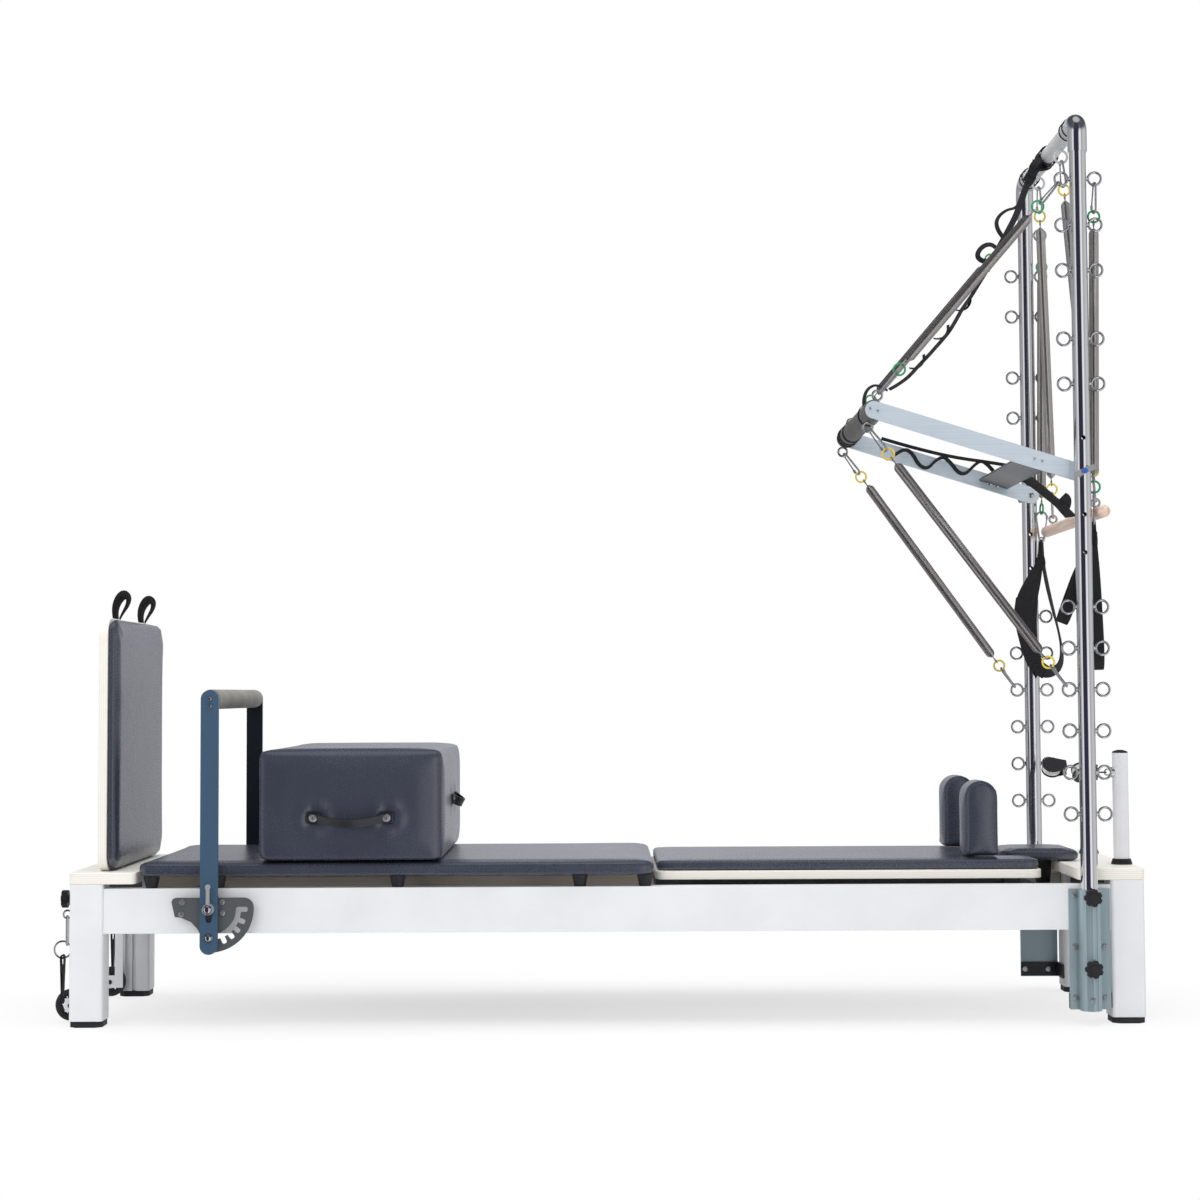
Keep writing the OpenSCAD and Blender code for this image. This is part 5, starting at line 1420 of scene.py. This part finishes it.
# %% Collars, bolt heads and domes
low, high = node_box("footbar_grip")
grip_x, grip_z = middle(low, high, 0), middle(low, high, 2)
LEVER_OUT = -node_box("lever_near")[0][1]
PIN_Z, LEVER_Z = 202.5, 267.0
COLLAR = [(0, 0.1), (0, 23.0), (0.8, 24.2), (5.0, 24.2), (6.0, 23.0), (6.0, 0.1)]
HEAD = [(-0.5, 1.0), (0.3, 1.04), (1.1, 0.98), (1.3, 0.8), (1.9, 0.78), (3.2, 0.6), (4.0, 0.42), (4.1, 0.34),
        (2.4, 0.3), (2.4, 0.01)]
DOME = [(0, 6.6), (0.6, 7.0), (1.4, 7.0), (1.8, 6.4), (3.2, 5.2), (4.2, 3.4), (4.6, 1.6), (4.7, 0.1)]


def button_head(centre, side, wide):
    """A domed bolt head on a raised washer, wide millimetres in radius."""
    return turned(centre, (0, side, 0), [(step, r * wide) for step, r in HEAD])


collars, pins, domes = Bits(), Bits(), Bits()
for tag, side in SIDES:
    collars.add(turned((grip_x, side * 345.5, grip_z), (0, side, 0), COLLAR, 36))
    pins.add(button_head((grip_x, side * 366.0, PIN_Z), side, 9.0))
    head = Bits().add(button_head((grip_x, side * LEVER_OUT, LEVER_Z), side, 10.5))
    head.piece("lever_head_" + tag, "clamp_" + tag, CHROME, "chrome_steel", 40)
    for reach in (109, 91, 0):
        x, z = on_arm(reach)
        domes.add(turned((x, side * 312.8, z), (0, -side, 0), DOME))
collars.piece("footbar_collars", "footbar", RUBBER, "black_rubber", 40)
pins.piece("footbar_pin_heads", "footbar", CHROME, "chrome_steel", 40)
domes.piece("ptb_domes", "push_through_bar", CHROME, "chrome_steel", 40)
print("fittings turned")

# %% [markdown]
# ## Floor, light and the room
# The product stands on a plain white ground under large soft lamps. The camera sees white
# everywhere, while the light that falls on the object is lower, so white paint keeps its shape
# instead of burning out. The floor shows pure white to the camera through a light path test,
# and keeps the soft shadow by mixing that with its own shading.

# %% Floor
floor_mesh = bpy.data.meshes.new("floor")
ground = bmesh.new()
bmesh.ops.create_grid(ground, x_segments=1, y_segments=1, size=60)
ground.to_mesh(floor_mesh)
ground.free()
floor = bpy.data.objects.new("floor", floor_mesh)
bpy.context.scene.collection.objects.link(floor)
floor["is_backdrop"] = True

paper = Recipe("pale_floor")
paper.finish(base_color=(0.9, 0.9, 0.905, 1), roughness=0.7)
floor_mesh.materials.append(paper.material)

# %% [markdown]
# The floor is a shader mix. Far from the product it is plain white light, so no horizon shows.
# Near the feet it is the paper itself, which takes the shadow. The blend follows the distance
# from the middle of the bed, so it is soft in every view. To mirrored rays the floor is clear,
# so that the lower ends of the tubes show the room and not a white ground.

# %% Floor without a horizon
x, y = paper.axis("X"), paper.axis("Y")
away = ((x / 1.75) ** 2 + (y / 1.05) ** 2) ** 0.5
camera_ray = paper.node("ShaderNodeLightPath", {}, {}, "Is Camera Ray")
lit, lifted = away.spread(0.62, 1.5), away.spread(0.2, 1.3, 0.6, 1.0)
fade = lit + camera_ray * (lifted - lit)
glow = paper.node("ShaderNodeEmission", {}, {"Color": (1, 1, 1, 1), "Strength": 1.0})
mixed = paper.node("ShaderNodeMixShader", {}, {0: fade, 1: Wire(paper, paper.shader.outputs[0]), 2: glow})
gloss_ray = paper.node("ShaderNodeLightPath", {}, {}, "Is Glossy Ray")
clear = paper.node("ShaderNodeBsdfTransparent", {}, {})
mixed = paper.node("ShaderNodeMixShader", {}, {0: gloss_ray, 1: mixed, 2: clear})
paper.tree.links.new(mixed.socket, paper.tree.nodes["Material Output"].inputs["Surface"])
print("floor ready")

# %% [markdown]
# The world is lit by three answers to one question: who is looking. The camera gets white.
# Polished tube is drawn by what it mirrors, so a mirrored ray gets a studio of upright dark and
# light bands, which are stops of a ramp over the compass angle. Higher up that room turns dark,
# so the elbows keep their outline, and a pale lamp glows straight overhead. Every other ray
# gets a moderate grey that is a little brighter overhead.

# %% Room
world = bpy.data.worlds.new("studio")
bpy.context.scene.world = world
world.use_nodes = True


class Room(Recipe):
    """The same socket arithmetic, on the world's nodes."""

    def __init__(self, tree):
        self.tree = tree
        self.place = self.node("ShaderNodeTexCoord", {}, {}, "Generated")


room = Room(world.node_tree)
east, north, height = (room.axis(letter) for letter in "XYZ")
angle = east.maths("ARCTAN2", east, 0.0 - north) / math.tau + 0.5
ramp = room.tree.nodes.new("ShaderNodeValToRGB")
BANDS = [(-180, 0.85), (-158, 0.3), (-118, 0.36), (-84, 0.48), (-70, 0.6), (-65, 1.0), (-54, 0.8), (-48, 0.03),
         (2, 0.03), (7, 0.3), (14, 1.0), (31, 0.95), (41, 0.4), (51, 0.5), (69, 0.64), (92, 0.64),
         (132, 0.3), (180, 0.85)]
stops = ramp.color_ramp.elements
while len(stops) < len(BANDS):
    stops.new(0.5)
for stop, (degrees, value) in zip(stops, BANDS):
    stop.position = (degrees + 180) / 360
    stop.color = (value * 0.97, value * 0.98, min(1.0, value * 1.0 + 0.03), 1)
room.feed(ramp.inputs["Fac"], angle)
upper = height.spread(0.3, 0.55, 0.0, 0.9)
lamp_glow = height.spread(0.86, 0.96)
bands = room.blend(upper, Wire(room, ramp.outputs["Color"]), (0.045, 0.05, 0.07, 1))
bands = room.blend(lamp_glow, bands, (0.55, 0.56, 0.6, 1))
ambient = height.spread(-0.4, 0.9, 0.42, 0.95)
glossy = room.node("ShaderNodeLightPath", {}, {}, "Is Glossy Ray")
seen = room.node("ShaderNodeLightPath", {}, {}, "Is Camera Ray")
tone = room.blend(glossy, room.blend(1.0, (0, 0, 0, 1), ambient), bands)
tone = room.blend(seen, tone, (1, 1, 1, 1))
sky = world.node_tree.nodes["Background"]
room.feed(sky.inputs["Color"], tone)
sky.inputs["Strength"].default_value = 1.0

# %% [markdown]
# Two soft lamps give the forms a gentle side. One hangs high above, the other stands to the
# left of the camera. Their power is set so that paint renders about as light as it is written.
# Glossy rays don't see them, because the room's bands are already what polished tube mirrors.

# %% Lamps


def lamp(name, place, aim, size, power):
    data = bpy.data.lights.new(name, "AREA")
    data.shape = "RECTANGLE"
    data.size, data.size_y = size
    data.energy = power
    made = bpy.data.objects.new(name, data)
    bpy.context.scene.collection.objects.link(made)
    made.location = place
    made.rotation_mode = "QUATERNION"
    made.rotation_quaternion = (Vector(aim) - Vector(place)).to_track_quat("-Z", "Y")
    made.visible_glossy = False


lamp("ceiling_softbox", (0, -0.6, 4.6), (0, 0, 0), (5, 4), 120)
lamp("front_softbox", (-2.5, -5.5, 3.0), (0, 0, 0.8), (3, 2.5), 60)
bpy.context.scene.view_settings.view_transform = "Standard"
print("stage ready")

# %% Finish
boxes = {"cad": [list(v) for v in cad_box], "visual": [list(v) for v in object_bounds()]}
print("grown by mm", [[round((b - a) * 1000, 1) for a, b in zip(p, q)] for p, q in zip(boxes["cad"], boxes["visual"])])
